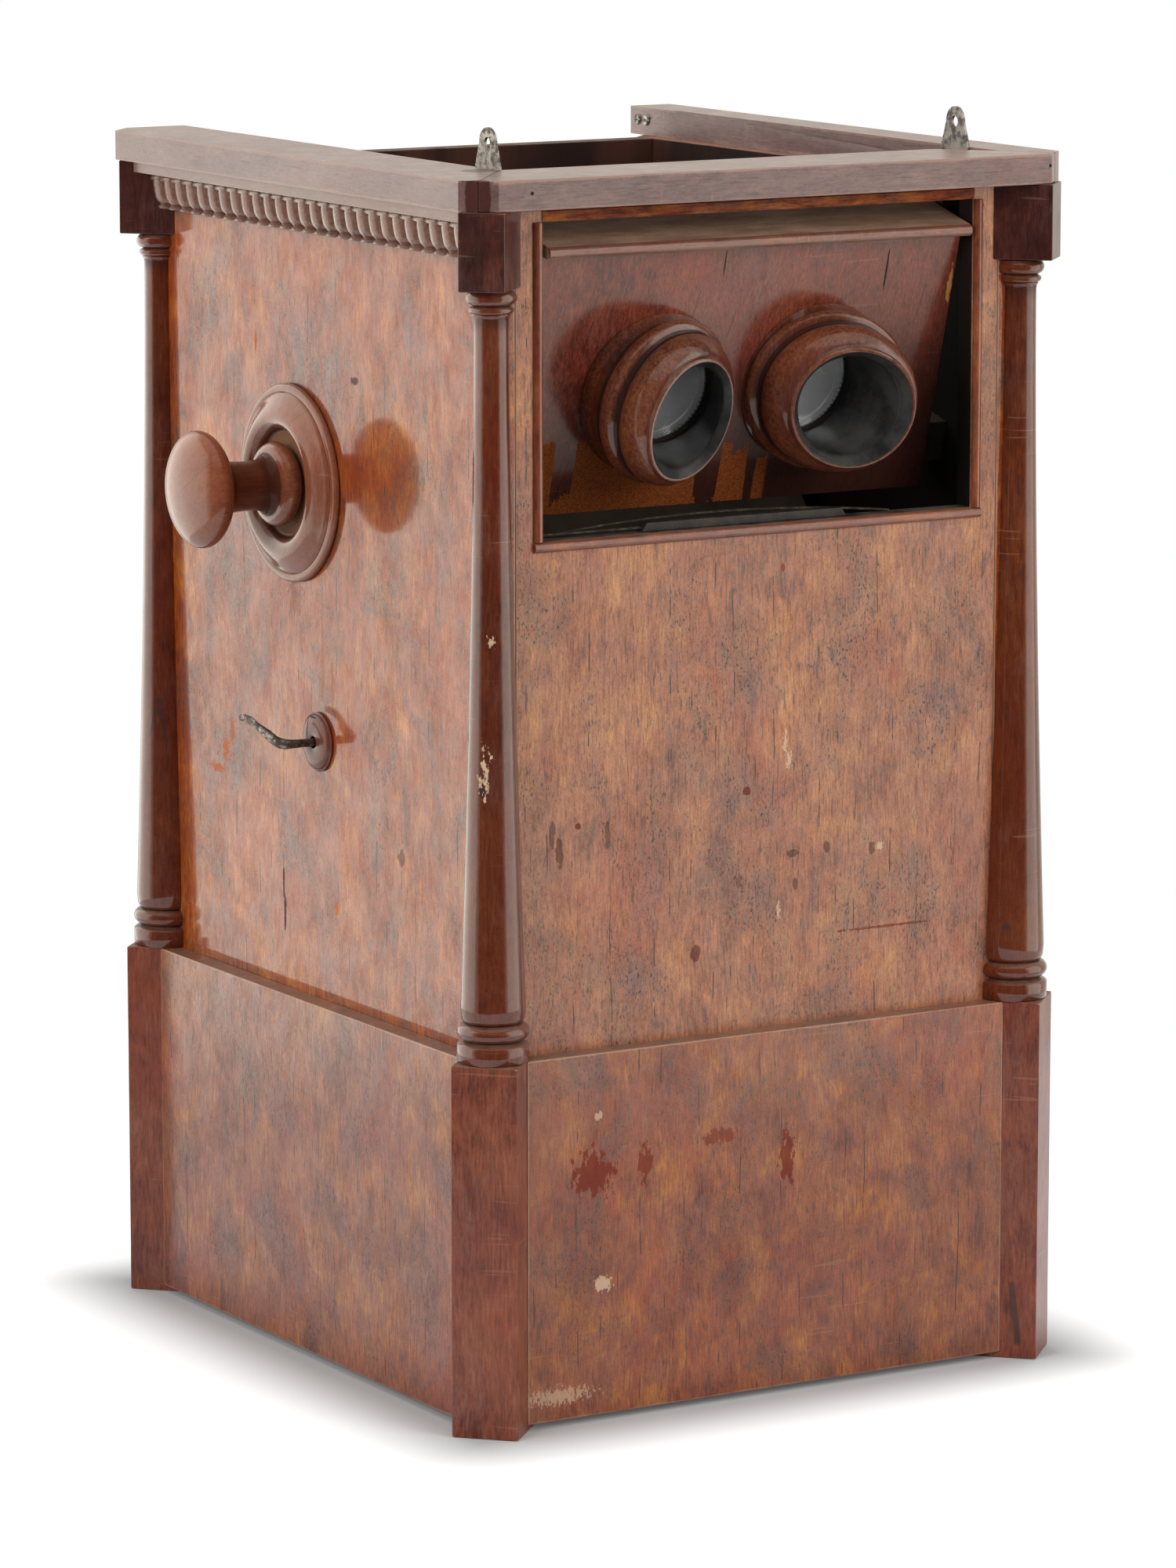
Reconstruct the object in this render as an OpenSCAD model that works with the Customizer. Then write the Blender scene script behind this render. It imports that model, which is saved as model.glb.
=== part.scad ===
// Table-top revolving stereoscope: a veneered cabinet on a plinth, with two eyepieces on a rocking
// lens board and a drum, turned by two side knobs, that carries stereo cards on endless tapes.
// Millimetres. +Z is up, the eyepieces look towards -Y, and the origin is on the floor.

/* [Case] */
// Width over the plinth panels
plinth_w = 250; // [248:1:254]
// Depth over the plinth panels
plinth_d = 280; // [278:1:290]
// Height of the plinth
plinth_h = 142; // [136:1:150]
// Thickness of a plinth panel, which is the width of the ledge on top of it
plinth_t = 8.5; // [8:0.1:9]
// Height of the case to the top of its cap
case_h = 470; // [469:0.5:471]
// Thickness of the case walls
wall_t = 10; // [9.8:0.1:10.2]
// Gap between the floor and the panels
floor_gap = 2.5; // [1.5:0.5:3.5]
// Thickness of the bottom board
bottom_t = 10; // [8:0.5:12]

/* [Cap] */
// Thickness of the cap rails
rail_t = 11.5; // [11:0.1:12]
// How far the cap stands outside the plinth panels at the sides
cap_side_out = 7; // [6.5:0.1:7.5]
// How far the cap stands outside the plinth panels at the front
cap_front_out = 5; // [4.5:0.1:5.5]
// How far the side rails run past the plinth panels at the back
cap_back_out = 10; // [9:0.5:10]
// Width of the left cap rail
rail_left_w = 36; // [35:0.5:37]
// Width of what is left of the broken right cap rail
rail_right_w = 19; // [18.5:0.1:19.5]
// Width of the front cap rail
rail_front_w = 43; // [42:0.5:44]
// Leg of the chamfer on the corners of the cap
cap_chamfer = 10.5; // [10:0.5:11]

/* [Posts, columns and mouldings] */
// Width of a plinth post's diagonal face
post_w = 25.5; // [25:0.1:26]
// How far a post's face stands outside the corner of the case
post_out = 13.4; // [13:0.1:13.5]
// Radius of a column's base ring
column_base_r = 13.6; // [13.2:0.1:13.8]
// Radius of the top of a column's shaft
column_top_r = 6.5; // [6.3:0.1:7]
// Width of a capital block's diagonal face
capital_w = 17.7; // [17.2:0.1:18.2]
// How far a capital block's face stands outside the corner of the case
capital_out = 14.2; // [14:0.1:14.6]
// Height of a capital block
capital_h = 29; // [28:0.5:30]
// Height of the fillet under a side rail
fillet_h = 4.6; // [4.2:0.1:5]
// Height of the gadrooned moulding under the fillet
gadroon_h = 14.4; // [13.5:0.1:15]
// Number of reeds in a gadrooned moulding
reeds = 27; // [24:1:27]
// Slant of the reeds
reed_slant = 13; // [10:1:16]

/* [Opening and lens board] */
// Width of the front opening
opening_w = 190; // [190:0.5:191]
// Height of the sill above the floor
sill_z = 335; // [334:0.5:335.5]
// Width of the half-round bead around the opening
bead_w = 4; // [3.6:0.1:4.2]
// Angle by which the lens board leans in at rest
board_lean = 15; // [14:0.5:15]
// Width of the lens board
board_w = 185; // [183:0.5:185.5]
// Height of the lens board
board_h = 104; // [102:0.5:104.5]
// Thickness of the lens board
board_t = 8; // [8:0.1:9]
// Distance between the rims of the two eyepieces, middle to middle
eye_gap = 71.4; // [70:0.2:72]
// Distance between the two lens axes
lens_gap = 62; // [61:0.2:64]
// Radius of a lens
lens_r = 20; // [19.5:0.1:20.2]
// Thickness of the canopy that carries the lens board
canopy_t = 4.5; // [4.4:0.1:4.6]
// Radius of the hinge pins
pin_r = 2; // [1.8:0.1:2]

/* [Drum and cards] */
// Height of the axle above the floor
drum_z = 341.5; // [340:0.5:343]
// Distance of the axle behind the middle of the case
drum_y = 22; // [20:0.5:24]
// Radius of the wooden drum
drum_r = 18; // [17.5:0.1:18]
// Radius of the axle
axle_r = 4; // [3.6:0.1:4]
// Radius of a knob
knob_r = 22.6; // [22:0.1:23.2]
// Radius of the rosette around a knob
rosette_r = 38.5; // [38:0.1:39]
// Height of the lowest turn of the tapes above the floor
tape_low_z = 125; // [124:0.5:128]
// Number of cards on the tapes
cards = 34; // [2:2:34]
// Width of a card
card_w = 178; // [176:1:178]
// Height of a card
card_h = 83; // [80:1:83]

/* [Card stop] */
// Height of the stop lever's shaft above the floor
lever_z = 243; // [241:0.5:245]
// Distance of the stop lever's shaft behind the middle of the case
lever_y = 2; // [0:0.5:4]
// Radius of the lever's rod
rod_r = 1.6; // [1.5:0.1:1.7]

/* [Hidden] */
$fn = 48;

// Running clearance between a shaft and its bore
running = 0.05;
// How far a cutter runs past the face that it cuts
over = 1;

// Outer and inner faces of the case walls
case_x = plinth_w / 2 - plinth_t;
case_y = plinth_d / 2 - plinth_t;
inner_x = case_x - wall_t;
inner_y = case_y - wall_t;
case_z = floor_gap + 1.5;
rail_z = case_h - rail_t;

// Outer faces of the cap, and the inner edges of its rails
cap_x = plinth_w / 2 + cap_side_out;
cap_front = plinth_d / 2 + cap_front_out;
cap_back = plinth_d / 2 + cap_back_out;
left_inner = cap_x - rail_left_w;
right_inner = cap_x - rail_right_w;
front_inner = cap_front - rail_front_w;
mitre = cap_chamfer / 2;

// Underside of the split strip at the top of the opening
strip_z = 453;

// The lens board's pivot, and the upright board's parts
pivot_y = -101;
head_z = 452;
pivot_z = head_z - canopy_t / 2;
canopy_z = head_z - canopy_t;
board_y = -128.5;
lens_z = 390;
lens_y = board_y + board_t / 2;
pin_in = board_w / 2 - 10;
pin_out = inner_x - 3.5;
block_in = board_w / 2 + 3.5;

// The drum, the tapes around it and the knobs
tape_in = drum_r + 0.4;
tape_out = tape_in + 1;
tape_x = 45;
flange_x = 97;
knob_x = case_x + 40.5;
bush_r = 7;

// The stop lever's elbow, tip and finger
elbow_x = case_x + 15;
lever_arm = [-5, 27.7, 6.6];
finger_x = flange_x + 1;
finger_h = 48;

// ---- Helpers ----

// A box given by its two opposite corners
module box(low, high) {
    translate(low)
        cube(high - low);
}

// Children turned so that their Z axis runs along +X
module along_x() {
    rotate([90, 0, 90])
        children();
}

// A cylinder along X from x0 to x1
module bar_x(r, x0, x1, y, z) {
    translate([x0, y, z])
        along_x()
            cylinder(r = r, h = x1 - x0);
}

// Children and their mirror image on the other side of the case
module both_sides() {
    children();
    mirror([1, 0, 0])
        children();
}

// Children of the front left corner moved to the corner on side (sx, sy)
module corner(sx, sy) {
    mirror([sx > 0 ? 1 : 0, 0, 0])
        mirror([0, sy > 0 ? 1 : 0, 0])
            children();
}

// Children of the upright lens board, leaning as it does at rest
module leaning() {
    translate([0, pivot_y, pivot_z])
        rotate([board_lean, 0, 0])
            translate([0, -pivot_y, -pivot_z])
                children();
}

// The outer volume of the case, which the corner pieces are notched around
module case_volume() {
    box([-case_x, -case_y, -over], [case_x, case_y, case_h]);
}

// ---- Plinth and case ----

// A diagonal block on the front left corner of the case
module diagonal_block(w, out, z0, z1) {
    translate([-case_x, -case_y, z0])
        rotate([0, 0, 45])
            translate([-out, -w / 2, 0])
                cube([out + w / 2, w, z1 - z0]);
}

module post_block() {
    diagonal_block(post_w, post_out, 0, plinth_h);
}

module post() {
    color("#5a1e14")
        difference() {
            post_block();
            case_volume();
        }
}

module all_posts() {
    for (sx = [-1, 1], sy = [-1, 1])
        corner(sx, sy)
            post_block();
}

module plinth_panel(low, high) {
    color("#a5623c")
        difference() {
            box(low, high);
            all_posts();
        }
}

module plinth_front() {
    plinth_panel([-plinth_w / 2, -plinth_d / 2, floor_gap], [plinth_w / 2, -case_y, plinth_h]);
}

module plinth_back() {
    mirror([0, 1, 0])
        plinth_front();
}

module plinth_left() {
    plinth_panel([-plinth_w / 2, -plinth_d / 2, floor_gap], [-case_x, plinth_d / 2, plinth_h]);
}

module plinth_right() {
    mirror([1, 0, 0])
        plinth_left();
}

module bottom_board() {
    color("#6b4a33")
        box([-inner_x, -inner_y, case_z], [inner_x, inner_y, case_z + bottom_t]);
}

module front_panel() {
    color("#8e5a44")
        difference() {
            box([-inner_x, -case_y, case_z], [inner_x, -inner_y, rail_z]);
            box([-opening_w / 2, -case_y - over, sill_z], [opening_w / 2, -inner_y + over, case_h]);
        }
}

module back_panel() {
    color("#7a4a38")
        box([-inner_x, inner_y, case_z], [inner_x, case_y, rail_z]);
}

module side_wall() {
    box([-case_x, -case_y, case_z], [-inner_x, case_y, rail_z]);
}

module left_wall() {
    color("#8e5a44")
        difference() {
            side_wall();
            bar_x(bush_r, -case_x - over, -inner_x + over, drum_y, drum_z);
            bar_x(3 * rod_r, -case_x - over, -inner_x + over, lever_y, lever_z);
        }
}

module right_wall() {
    color("#8e5a44")
        mirror([1, 0, 0])
            difference() {
                side_wall();
                bar_x(bush_r, -case_x - over, -inner_x + over, drum_y, drum_z);
            }
}

// ---- Columns, capitals and cornice ----

// Points of a half-round that bulges outwards, r at its ends, from z0 up to z1
function torus(r, z0, z1) = [for (a = [-90:18:90])
    [r + (z1 - z0) / 2 * cos(a), (z0 + z1) / 2 + (z1 - z0) / 2 * sin(a)]];

// Half the outline of a column: base ring, torus, swelling shaft, astragal and top torus
column_z = rail_z - capital_h;
shaft_z = plinth_h + 21;
neck_z = column_z - 12;
column_outline = concat(
    [[0, plinth_h], [column_base_r, plinth_h], [column_base_r, plinth_h + 7],
        [column_base_r - 1.2, plinth_h + 7.6]],
    torus(column_base_r - 3.2, plinth_h + 8.4, plinth_h + 14.8),
    [for (t = [0:0.1:1]) [column_top_r + (column_base_r - 1.3 - column_top_r) * pow(1 - t, 1.6),
        shaft_z + (neck_z - shaft_z) * t]],
    [[column_top_r + 0.8, neck_z + 2.2]],
    torus(column_top_r + 0.6, column_z - 8.8, column_z - 6.2),
    torus(column_top_r + 0.2, column_z - 5.8, column_z - 0.2),
    [[0, column_z]]);

module column() {
    color("#6a2a1c")
        difference() {
            translate([-case_x, -case_y, 0])
                rotate_extrude()
                    polygon(column_outline);
            case_volume();
        }
}

module capital_block() {
    diagonal_block(capital_w, capital_out, column_z, rail_z);
}

module all_capitals() {
    for (sx = [-1, 1], sy = [-1, 1])
        corner(sx, sy)
            capital_block();
}

module capital_blocks() {
    color("#5a1e14")
        difference() {
            all_capitals();
            case_volume();
        }
}

module cornice_fillets() {
    color("#7a4630")
        difference() {
            both_sides()
                box([-case_x - 12, -case_y, rail_z - fillet_h], [-case_x, case_y, rail_z]);
            all_capitals();
        }
}

// The left gadrooned moulding: slanted reeds in front of a backing strip
module gadroon() {
    top = rail_z - fillet_h;
    pitch = (2 * case_y - 14) / reeds;
    color("#7d4a38")
        difference() {
            intersection() {
                union() {
                    box([-case_x - 4, -case_y, top - gadroon_h], [-case_x, case_y, top]);
                    for (i = [0:reeds - 1])
                        translate([-case_x - 4, pitch * (i - (reeds - 1) / 2), top - gadroon_h / 2])
                            rotate([-reed_slant, 0, 0])
                                cylinder(r = pitch * 0.46, h = 2 * gadroon_h, center = true);
                }
                box([-case_x - 10, -case_y, top - gadroon_h], [-case_x, case_y, top]);
            }
            all_capitals();
        }
}

module gadroon_left() {
    gadroon();
}

module gadroon_right() {
    mirror([1, 0, 0])
        gadroon();
}

// ---- Cap ----

module rail_slab(points) {
    translate([0, 0, rail_z])
        linear_extrude(rail_t)
            polygon(points);
}

// Screws as [x of the head's face, y, z, direction of the head along X]
lug_y = -93;
lug_hole_z = 479.3;
lug_t = 1.2;
screw_z = rail_z + rail_t / 2;
lug_screw_z = rail_z + 4.5;
lug_screws = [for (y = [-4, 4]) [lug_y + y, lug_screw_z]];
end_screws = [for (y = [6, 13]) [cap_back - y, screw_z + 0.6]];
screw_r = 2.5;
shank_r = 1.1;

// Children placed on each screw, with +Z running out of the head
module on_screws() {
    for (s = lug_screws) {
        translate([-left_inner + lug_t, s[0], s[1]])
            along_x()
                children();
        translate([right_inner - lug_t, s[0], s[1]])
            rotate([0, 0, 180])
                along_x()
                    children();
    }
    for (s = end_screws)
        translate([right_inner, s[0], s[1]])
            rotate([0, 0, 180])
                along_x()
                    children();
}

module screw_holes() {
    on_screws()
        translate([0, 0, -10])
            cylinder(r = shank_r, h = 10 + over);
}

module slotted_screws() {
    color("#9a9084")
        on_screws()
            difference() {
                union() {
                    translate([0, 0, -9])
                        cylinder(r = shank_r, h = 9 + 0.5);
                    cylinder(r1 = screw_r, r2 = screw_r - 0.6, h = 1);
                }
                translate([-screw_r, -0.35, 0.5])
                    cube([2 * screw_r, 0.7, 1]);
            }
}

module cap_rail_left() {
    color("#7d6156")
        difference() {
            rail_slab([[-cap_x + mitre, -cap_front + mitre], [-left_inner, -front_inner],
                [-left_inner, cap_back], [-cap_x + cap_chamfer, cap_back],
                [-cap_x, cap_back - cap_chamfer], [-cap_x, -cap_front + cap_chamfer]]);
            screw_holes();
        }
}

module cap_rail_front() {
    color("#7d6156")
        rail_slab([[-cap_x + mitre, -cap_front + mitre], [-cap_x + cap_chamfer, -cap_front],
            [cap_x - cap_chamfer, -cap_front], [cap_x - mitre, -cap_front + mitre],
            [left_inner, -front_inner], [-left_inner, -front_inner]]);
}

// The right rail's inner part is broken away along the grain, with a step near the back
module cap_rail_right() {
    slope = (cap_front - front_inner - mitre) / (cap_x - left_inner - mitre);
    start_y = -cap_front + mitre + (rail_right_w - mitre) * slope;
    step_y = cap_back - 32;
    color("#5e4438")
        difference() {
            rail_slab([[cap_x - mitre, -cap_front + mitre], [cap_x, -cap_front + cap_chamfer],
                [cap_x, cap_back], [right_inner, cap_back], [right_inner, step_y],
                [right_inner + 1.5, step_y - 4], [right_inner + 0.8, step_y - 60],
                [right_inner, -front_inner + 20], [right_inner, start_y]]);
            screw_holes();
        }
}

// An upright ear with a hinge hole, on a foot that is screwed to a rail's inner face
module lug(x) {
    ear_r = 5.8;
    hole_r = 2.15;
    foot_w = 17.8;
    flare_z = case_h + 0.5;
    color("#8c8a86")
        difference() {
            union() {
                bar_x(ear_r, x, x + lug_t, lug_y, lug_hole_z);
                translate([x, 0, 0])
                    along_x()
                        linear_extrude(lug_t)
                            polygon([[lug_y - ear_r, lug_hole_z], [lug_y - foot_w / 2, flare_z],
                                [lug_y - foot_w / 2, rail_z + 0.5], [lug_y + foot_w / 2, rail_z + 0.5],
                                [lug_y + foot_w / 2, flare_z], [lug_y + ear_r, lug_hole_z]]);
            }
            bar_x(hole_r, x - over, x + lug_t + over, lug_y, lug_hole_z);
            for (s = lug_screws)
                bar_x(shank_r, x - over, x + lug_t + over, s[0], s[1]);
        }
}

module lug_left() {
    lug(-left_inner);
}

module lug_right() {
    lug(right_inner - lug_t);
}

// ---- Front opening ----

module front_split_strip() {
    color("#b5622e")
        box([-opening_w / 2, -case_y, strip_z], [opening_w / 2, -case_y + 7, strip_z + 4]);
}

// Half-round beads around the opening, on the front of the case
module bead_sides() {
    color("#a8492a")
        both_sides()
            translate([0, -case_y, sill_z])
                intersection() {
                    translate([-opening_w / 2 - bead_w / 2, 0, 0])
                        cylinder(r = bead_w / 2, h = strip_z - sill_z);
                    translate([-case_x, -bead_w, 0])
                        cube([2 * case_x, bead_w, case_h]);
                }
}

module bead_sill() {
    reach = opening_w / 2 + bead_w;
    color("#a8705c")
        translate([0, -case_y, sill_z - bead_w / 2])
            intersection() {
                bar_x(bead_w / 2, -reach, reach, 0, 0);
                translate([-case_x, -bead_w, -case_h])
                    cube([2 * case_x, bead_w, 2 * case_h]);
            }
}

// A strip of wood on the sill with bevelled ends
module sill_strip() {
    strip_h = 3.5;
    color("#4d4a48")
        translate([0, -124, sill_z])
            rotate([90, 0, 0])
                linear_extrude(4)
                    polygon([[-50, 0], [41, 0], [38.5, strip_h], [-48, strip_h]]);
}

module sill_rod() {
    color("#6e6a66")
        bar_x(0.7, -opening_w / 2, -49.5, -126, sill_z + 1.5);
}

// A bowed strip of spring steel, pointed at its right end
module leaf_spring() {
    left = -94.5;
    right = 63;
    rise = 4.6;
    thick = 0.7;
    bow = [for (t = [0:0.05:1]) [left + (right - left) * t, thick + rise * 4 * t * (1 - t)]];
    under = [for (i = [len(bow) - 1:-1:0]) [bow[i][0], bow[i][1] - thick]];
    color("#46423f")
        translate([0, -121.5, sill_z])
            rotate([90, 0, 0])
                linear_extrude(2)
                    polygon(concat(bow, under));
}

// ---- Lens board ----

module canopy() {
    nose_y = -133;
    color("#57504c")
        leaning()
            difference() {
                union() {
                    box([-board_w / 2 - 0.5, nose_y, canopy_z], [board_w / 2 + 0.5, pivot_y + 2.5, head_z]);
                    bar_x(canopy_t / 2, -board_w / 2 - 0.5, board_w / 2 + 0.5, nose_y, pivot_z);
                }
                both_sides()
                    bar_x(pin_r, pin_in, board_w, pivot_y, pivot_z);
            }
}

module lens_board() {
    color("#6e3524")
        leaning()
            difference() {
                box([-board_w / 2, board_y, canopy_z - board_h], [board_w / 2, board_y + board_t, canopy_z]);
                for (x = [-lens_gap / 2, lens_gap / 2])
                    translate([x, board_y + board_t + over, lens_z])
                        rotate([90, 0, 0])
                            cylinder(r = lens_r, h = board_t + 2 * over);
            }
}

module hinge_pins() {
    color("#7c756c")
        leaning()
            both_sides()
                bar_x(pin_r, pin_in, pin_out, pivot_y, pivot_z);
}

module hinge_blocks() {
    color("#4a3024")
        both_sides()
            difference() {
                box([block_in, pivot_y - 8, pivot_z - 10], [inner_x, pivot_y + 8, pivot_z + 6]);
                bar_x(pin_r + running, block_in - over, inner_x + over, pivot_y, pivot_z);
            }
}

// Blocks on the side walls that the leaning board rests against
module board_stops() {
    stop_y = board_y + board_t + 0.4;
    stop_z = 350;
    color("#4a3024")
        leaning()
            both_sides()
                box([board_w / 2 - 7, stop_y, stop_z], [inner_x, stop_y + 12, stop_z + 16]);
}

// Rings of an eyepiece as [distance from the board, radius, yaw]: out along its turned outside
// (flange, torus, groove and barrel) to the rim, down its bevel and back along the bore
eyepiece_rings = [
    [0, 31.2, 0], [0.9, 31.6, 0.8], [5.6, 29.6, 9.6], [6.6, 31.1, 11.2], [8.4, 31.9, 13.2],
    [10.2, 31.8, 14], [11.8, 30.8, 14.6], [12.8, 29, 15.2], [14.2, 28.4, 15.8], [16, 29.2, 16.4],
    [18.6, 29.4, 17], [21.4, 28.8, 17.6], [24.2, 27.4, 18.3], [26.8, 25.6, 18.9], [28.6, 24.4, 19.3],
    [29.5, 23.5, 19.5], [28.8, 22.4, 19.3], [26, 19.8, 18.7], [25.4, 20.2, 18.5], [13, 20.4, 11],
    [0, 20.6, 0]];
ring_steps = 48;
rim_out = 29.5;
bore_from = 16;

// A turned eyepiece on the upright board, cut askew with its long side away from the nose; its
// bore runs aslant from the rim to the lens
module eyepiece(side) {
    count = len(eyepiece_rings);
    points = [for (n = [0:count - 1], i = [0:ring_steps - 1])
        let (ring = eyepiece_rings[n], a = 360 * i / ring_steps,
            lean = n < bore_from ? 0 : 1 - ring[0] / rim_out,
            x = side * (eye_gap - lean * (eye_gap - lens_gap)) / 2)
            [x + ring[1] * cos(a) * cos(ring[2]),
                board_y - ring[0] - side * ring[1] * cos(a) * sin(ring[2]),
                lens_z + ring[1] * sin(a)]];
    faces = [for (k = [0:count - 1], i = [0:ring_steps - 1])
        let (j = (i + 1) % ring_steps, n = (k + 1) % count)
            [k * ring_steps + i, k * ring_steps + j, n * ring_steps + j, n * ring_steps + i]];
    color("#6d3a2b")
        leaning()
            polyhedron(points, faces, convexity = 6);
}

module eyepiece_left() {
    eyepiece(-1);
}

module eyepiece_right() {
    eyepiece(1);
}

// A biconvex lens in the board's bore at x
module lens(x) {
    edge = 2.4;
    bulge = 2.2;
    sphere_r = (lens_r * lens_r + bulge * bulge) / (2 * bulge);
    top = asin(lens_r / sphere_r);
    cap = [for (t = [0:0.125:1])
        [sphere_r * sin(top * (1 - t)), edge / 2 + bulge - sphere_r * (1 - cos(top * (1 - t)))]];
    floor_points = [for (i = [len(cap) - 1:-1:0]) [cap[i][0], -cap[i][1]]];
    color("#b8c4c0", 0.5)
        leaning()
            translate([x, lens_y, lens_z])
                rotate([90, 0, 0])
                    rotate_extrude()
                        polygon(concat(cap, floor_points));
}

module lens_left() {
    lens(-lens_gap / 2);
}

module lens_right() {
    lens(lens_gap / 2);
}

// Rings that hold the lenses in their bores from behind
module lens_rings() {
    front_y = lens_y + 1.8;
    ring_t = board_y + board_t - front_y;
    color("#3a3633")
        leaning()
            for (x = [-lens_gap / 2, lens_gap / 2])
                translate([x, front_y, lens_z])
                    rotate([-90, 0, 0])
                        difference() {
                            cylinder(r = lens_r, h = ring_t);
                            translate([0, 0, -over])
                                cylinder(r = lens_r - 2.5, h = ring_t + 2 * over);
                        }
}

// ---- Drum, knobs and rosettes ----

module drum_axle() {
    color("#8a8880")
        bar_x(axle_r, -knob_x + 7, knob_x - 7, drum_y, drum_z);
}

module card_drum() {
    color("#9b7148")
        difference() {
            bar_x(drum_r, -flange_x, flange_x, drum_y, drum_z);
            bar_x(axle_r, -flange_x - over, flange_x + over, drum_y, drum_z);
        }
}

module drum_flanges() {
    color("#7a5a3a")
        both_sides()
            difference() {
                bar_x(30, flange_x, flange_x + 4, drum_y, drum_z);
                bar_x(axle_r, flange_x - over, flange_x + 4 + over, drum_y, drum_z);
            }
}

// A mushroom knob on the right end of the axle: ring, hollow neck and flattened ball
module knob() {
    half_t = 9.5;
    ball_root_r = 10.6;
    root = case_x + 2.7;
    first = acos(ball_root_r / knob_r);
    ball = [for (a = [-first:6.8:90]) [knob_r * cos(a), knob_x + half_t * sin(a)]];
    outline = concat(
        [[0, root], [11.6, root]],
        torus(12, case_x + 3, case_x + 11.8),
        [[11.4, case_x + 12.3], [10.3, case_x + 14], [9.6, case_x + 18], [9.7, case_x + 24],
            [10.4, case_x + 30.6]],
        ball,
        [[0, knob_x + half_t]]);
    color("#5e2418")
        difference() {
            translate([0, drum_y, drum_z])
                along_x()
                    rotate_extrude()
                        polygon(outline);
            bar_x(axle_r, case_x, knob_x - 7, drum_y, drum_z);
        }
}

module knob_right() {
    knob();
}

module knob_left() {
    mirror([1, 0, 0])
        knob();
}

// Outline of a rosette as [distance in from its edge, height]: rim, fillet, swell and hollow
rosette_steps = [[0.6, 0], [0, 0.9], [0, 2], [0.9, 2.8], [3.2, 3.1], [4, 3.9], [6, 5], [9.4, 7.2],
    [12.3, 8.2], [14.8, 7.4], [16.6, 5.3], [17.6, 2.9], [18.4, 2.2], [20.4, 1.8]];

// A turned rosette on the right wall, around the hollow for the knob's ring
module rosette() {
    bore = bush_r - 1;
    outline = concat([[bore, case_x]],
        [for (step = rosette_steps) [rosette_r - step[0], case_x + step[1]]],
        [[bore, case_x + 1.8]]);
    color("#64281b")
        translate([0, drum_y, drum_z])
            along_x()
                rotate_extrude()
                    polygon(outline);
}

module rosette_right() {
    rosette();
}

module rosette_left() {
    mirror([1, 0, 0])
        rosette();
}

module axle_bushes() {
    color("#8d8064")
        both_sides()
            difference() {
                union() {
                    bar_x(bush_r, inner_x, case_x, drum_y, drum_z);
                    bar_x(bush_r + 4, inner_x - 1.5, inner_x, drum_y, drum_z);
                }
                bar_x(axle_r + running, inner_x - 1.5 - over, case_x + over, drum_y, drum_z);
            }
}

// ---- Tapes and cards ----

// Outline of a loop of tape around the axle and its lowest turn, at radius r
module loop_outline(r) {
    translate([drum_y, drum_z])
        circle(r = r);
    translate([drum_y, tape_low_z])
        circle(r = r);
    translate([drum_y - r, tape_low_z])
        square([2 * r, drum_z - tape_low_z]);
}

module card_tapes() {
    tape_w = 12;
    color("#b9a27c")
        for (x = [-tape_x, tape_x])
            translate([x - tape_w / 2, 0, 0])
                along_x()
                    linear_extrude(tape_w)
                        difference() {
                            loop_outline(tape_out);
                            loop_outline(tape_in);
                        }
}

// Length of half a loop, measured along the middle of the tape, and its parts
turn_r = (tape_in + tape_out) / 2;
quarter = turn_r * PI / 2;
straight = drum_z - tape_low_z;
half_loop = 2 * quarter + straight;
hang = 7;

// A card's foot at a distance s from the top of the loop: [angle from the top, height of its centre]
function foot_angle(s) =
    s < quarter ? s / turn_r * 180 / PI
    : s < quarter + straight ? 90
    : 90 + (s - quarter - straight) / turn_r * 180 / PI;
function foot_z(s) =
    s < quarter ? drum_z
    : s < quarter + straight ? drum_z - (s - quarter)
    : tape_low_z;

// A card's own angle from upright: the first card stands, the next lies on the drum, the rest hang
function card_angle(s) =
    s < 1 ? 0
    : s < quarter ? foot_angle(s) + 87
    : s < quarter + straight ? 180 - hang
    : 180;

// Children placed at every card's foot, with +Z running up the card and -Y away from the loop
module on_cards() {
    step = 2 * half_loop / cards;
    for (k = [0:cards - 1])
        let (back = k > cards / 2, s = back ? (cards - k) * step : k * step)
            translate([0, drum_y, foot_z(s)])
                mirror([0, back ? 1 : 0, 0])
                    rotate([foot_angle(s), 0, 0])
                        translate([0, 0, tape_out + 1.4])
                            rotate([card_angle(s) - foot_angle(s), 0, 0])
                                children();
}

// Tin holders: a clip along the card's foot and a tab on the tapes
module card_holders() {
    clip_w = 120;
    color("#a09c90")
        on_cards()
            difference() {
                translate([-clip_w / 2, -0.85, -0.9])
                    cube([clip_w, 1.7, 7]);
                translate([-card_w / 2, -0.5, 0])
                    cube([card_w, 1, card_h]);
            }
}

module stereo_cards() {
    color("#d8c8a4")
        on_cards()
            translate([-card_w / 2, -0.5, 0])
                cube([card_w, 1, card_h]);
}

// ---- Card stop ----

module lever_escutcheon() {
    color("#7a4a2e")
        translate([-case_x, lever_y, lever_z])
            rotate([0, -90, 0])
                rotate_extrude()
                    polygon(concat([[2.6, 0], [11.5, 0], [11.5, 1.2]],
                        [for (a = [20:20:80]) [5 + 6 * cos(a), 1.2 + 1.8 * sin(a)]],
                        [[2.6, 3]]));
}

module lever_bush() {
    color("#8d8064")
        difference() {
            bar_x(3 * rod_r, -case_x, -inner_x, lever_y, lever_z);
            bar_x(rod_r + running, -case_x - over, -inner_x + over, lever_y, lever_z);
        }
}

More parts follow.
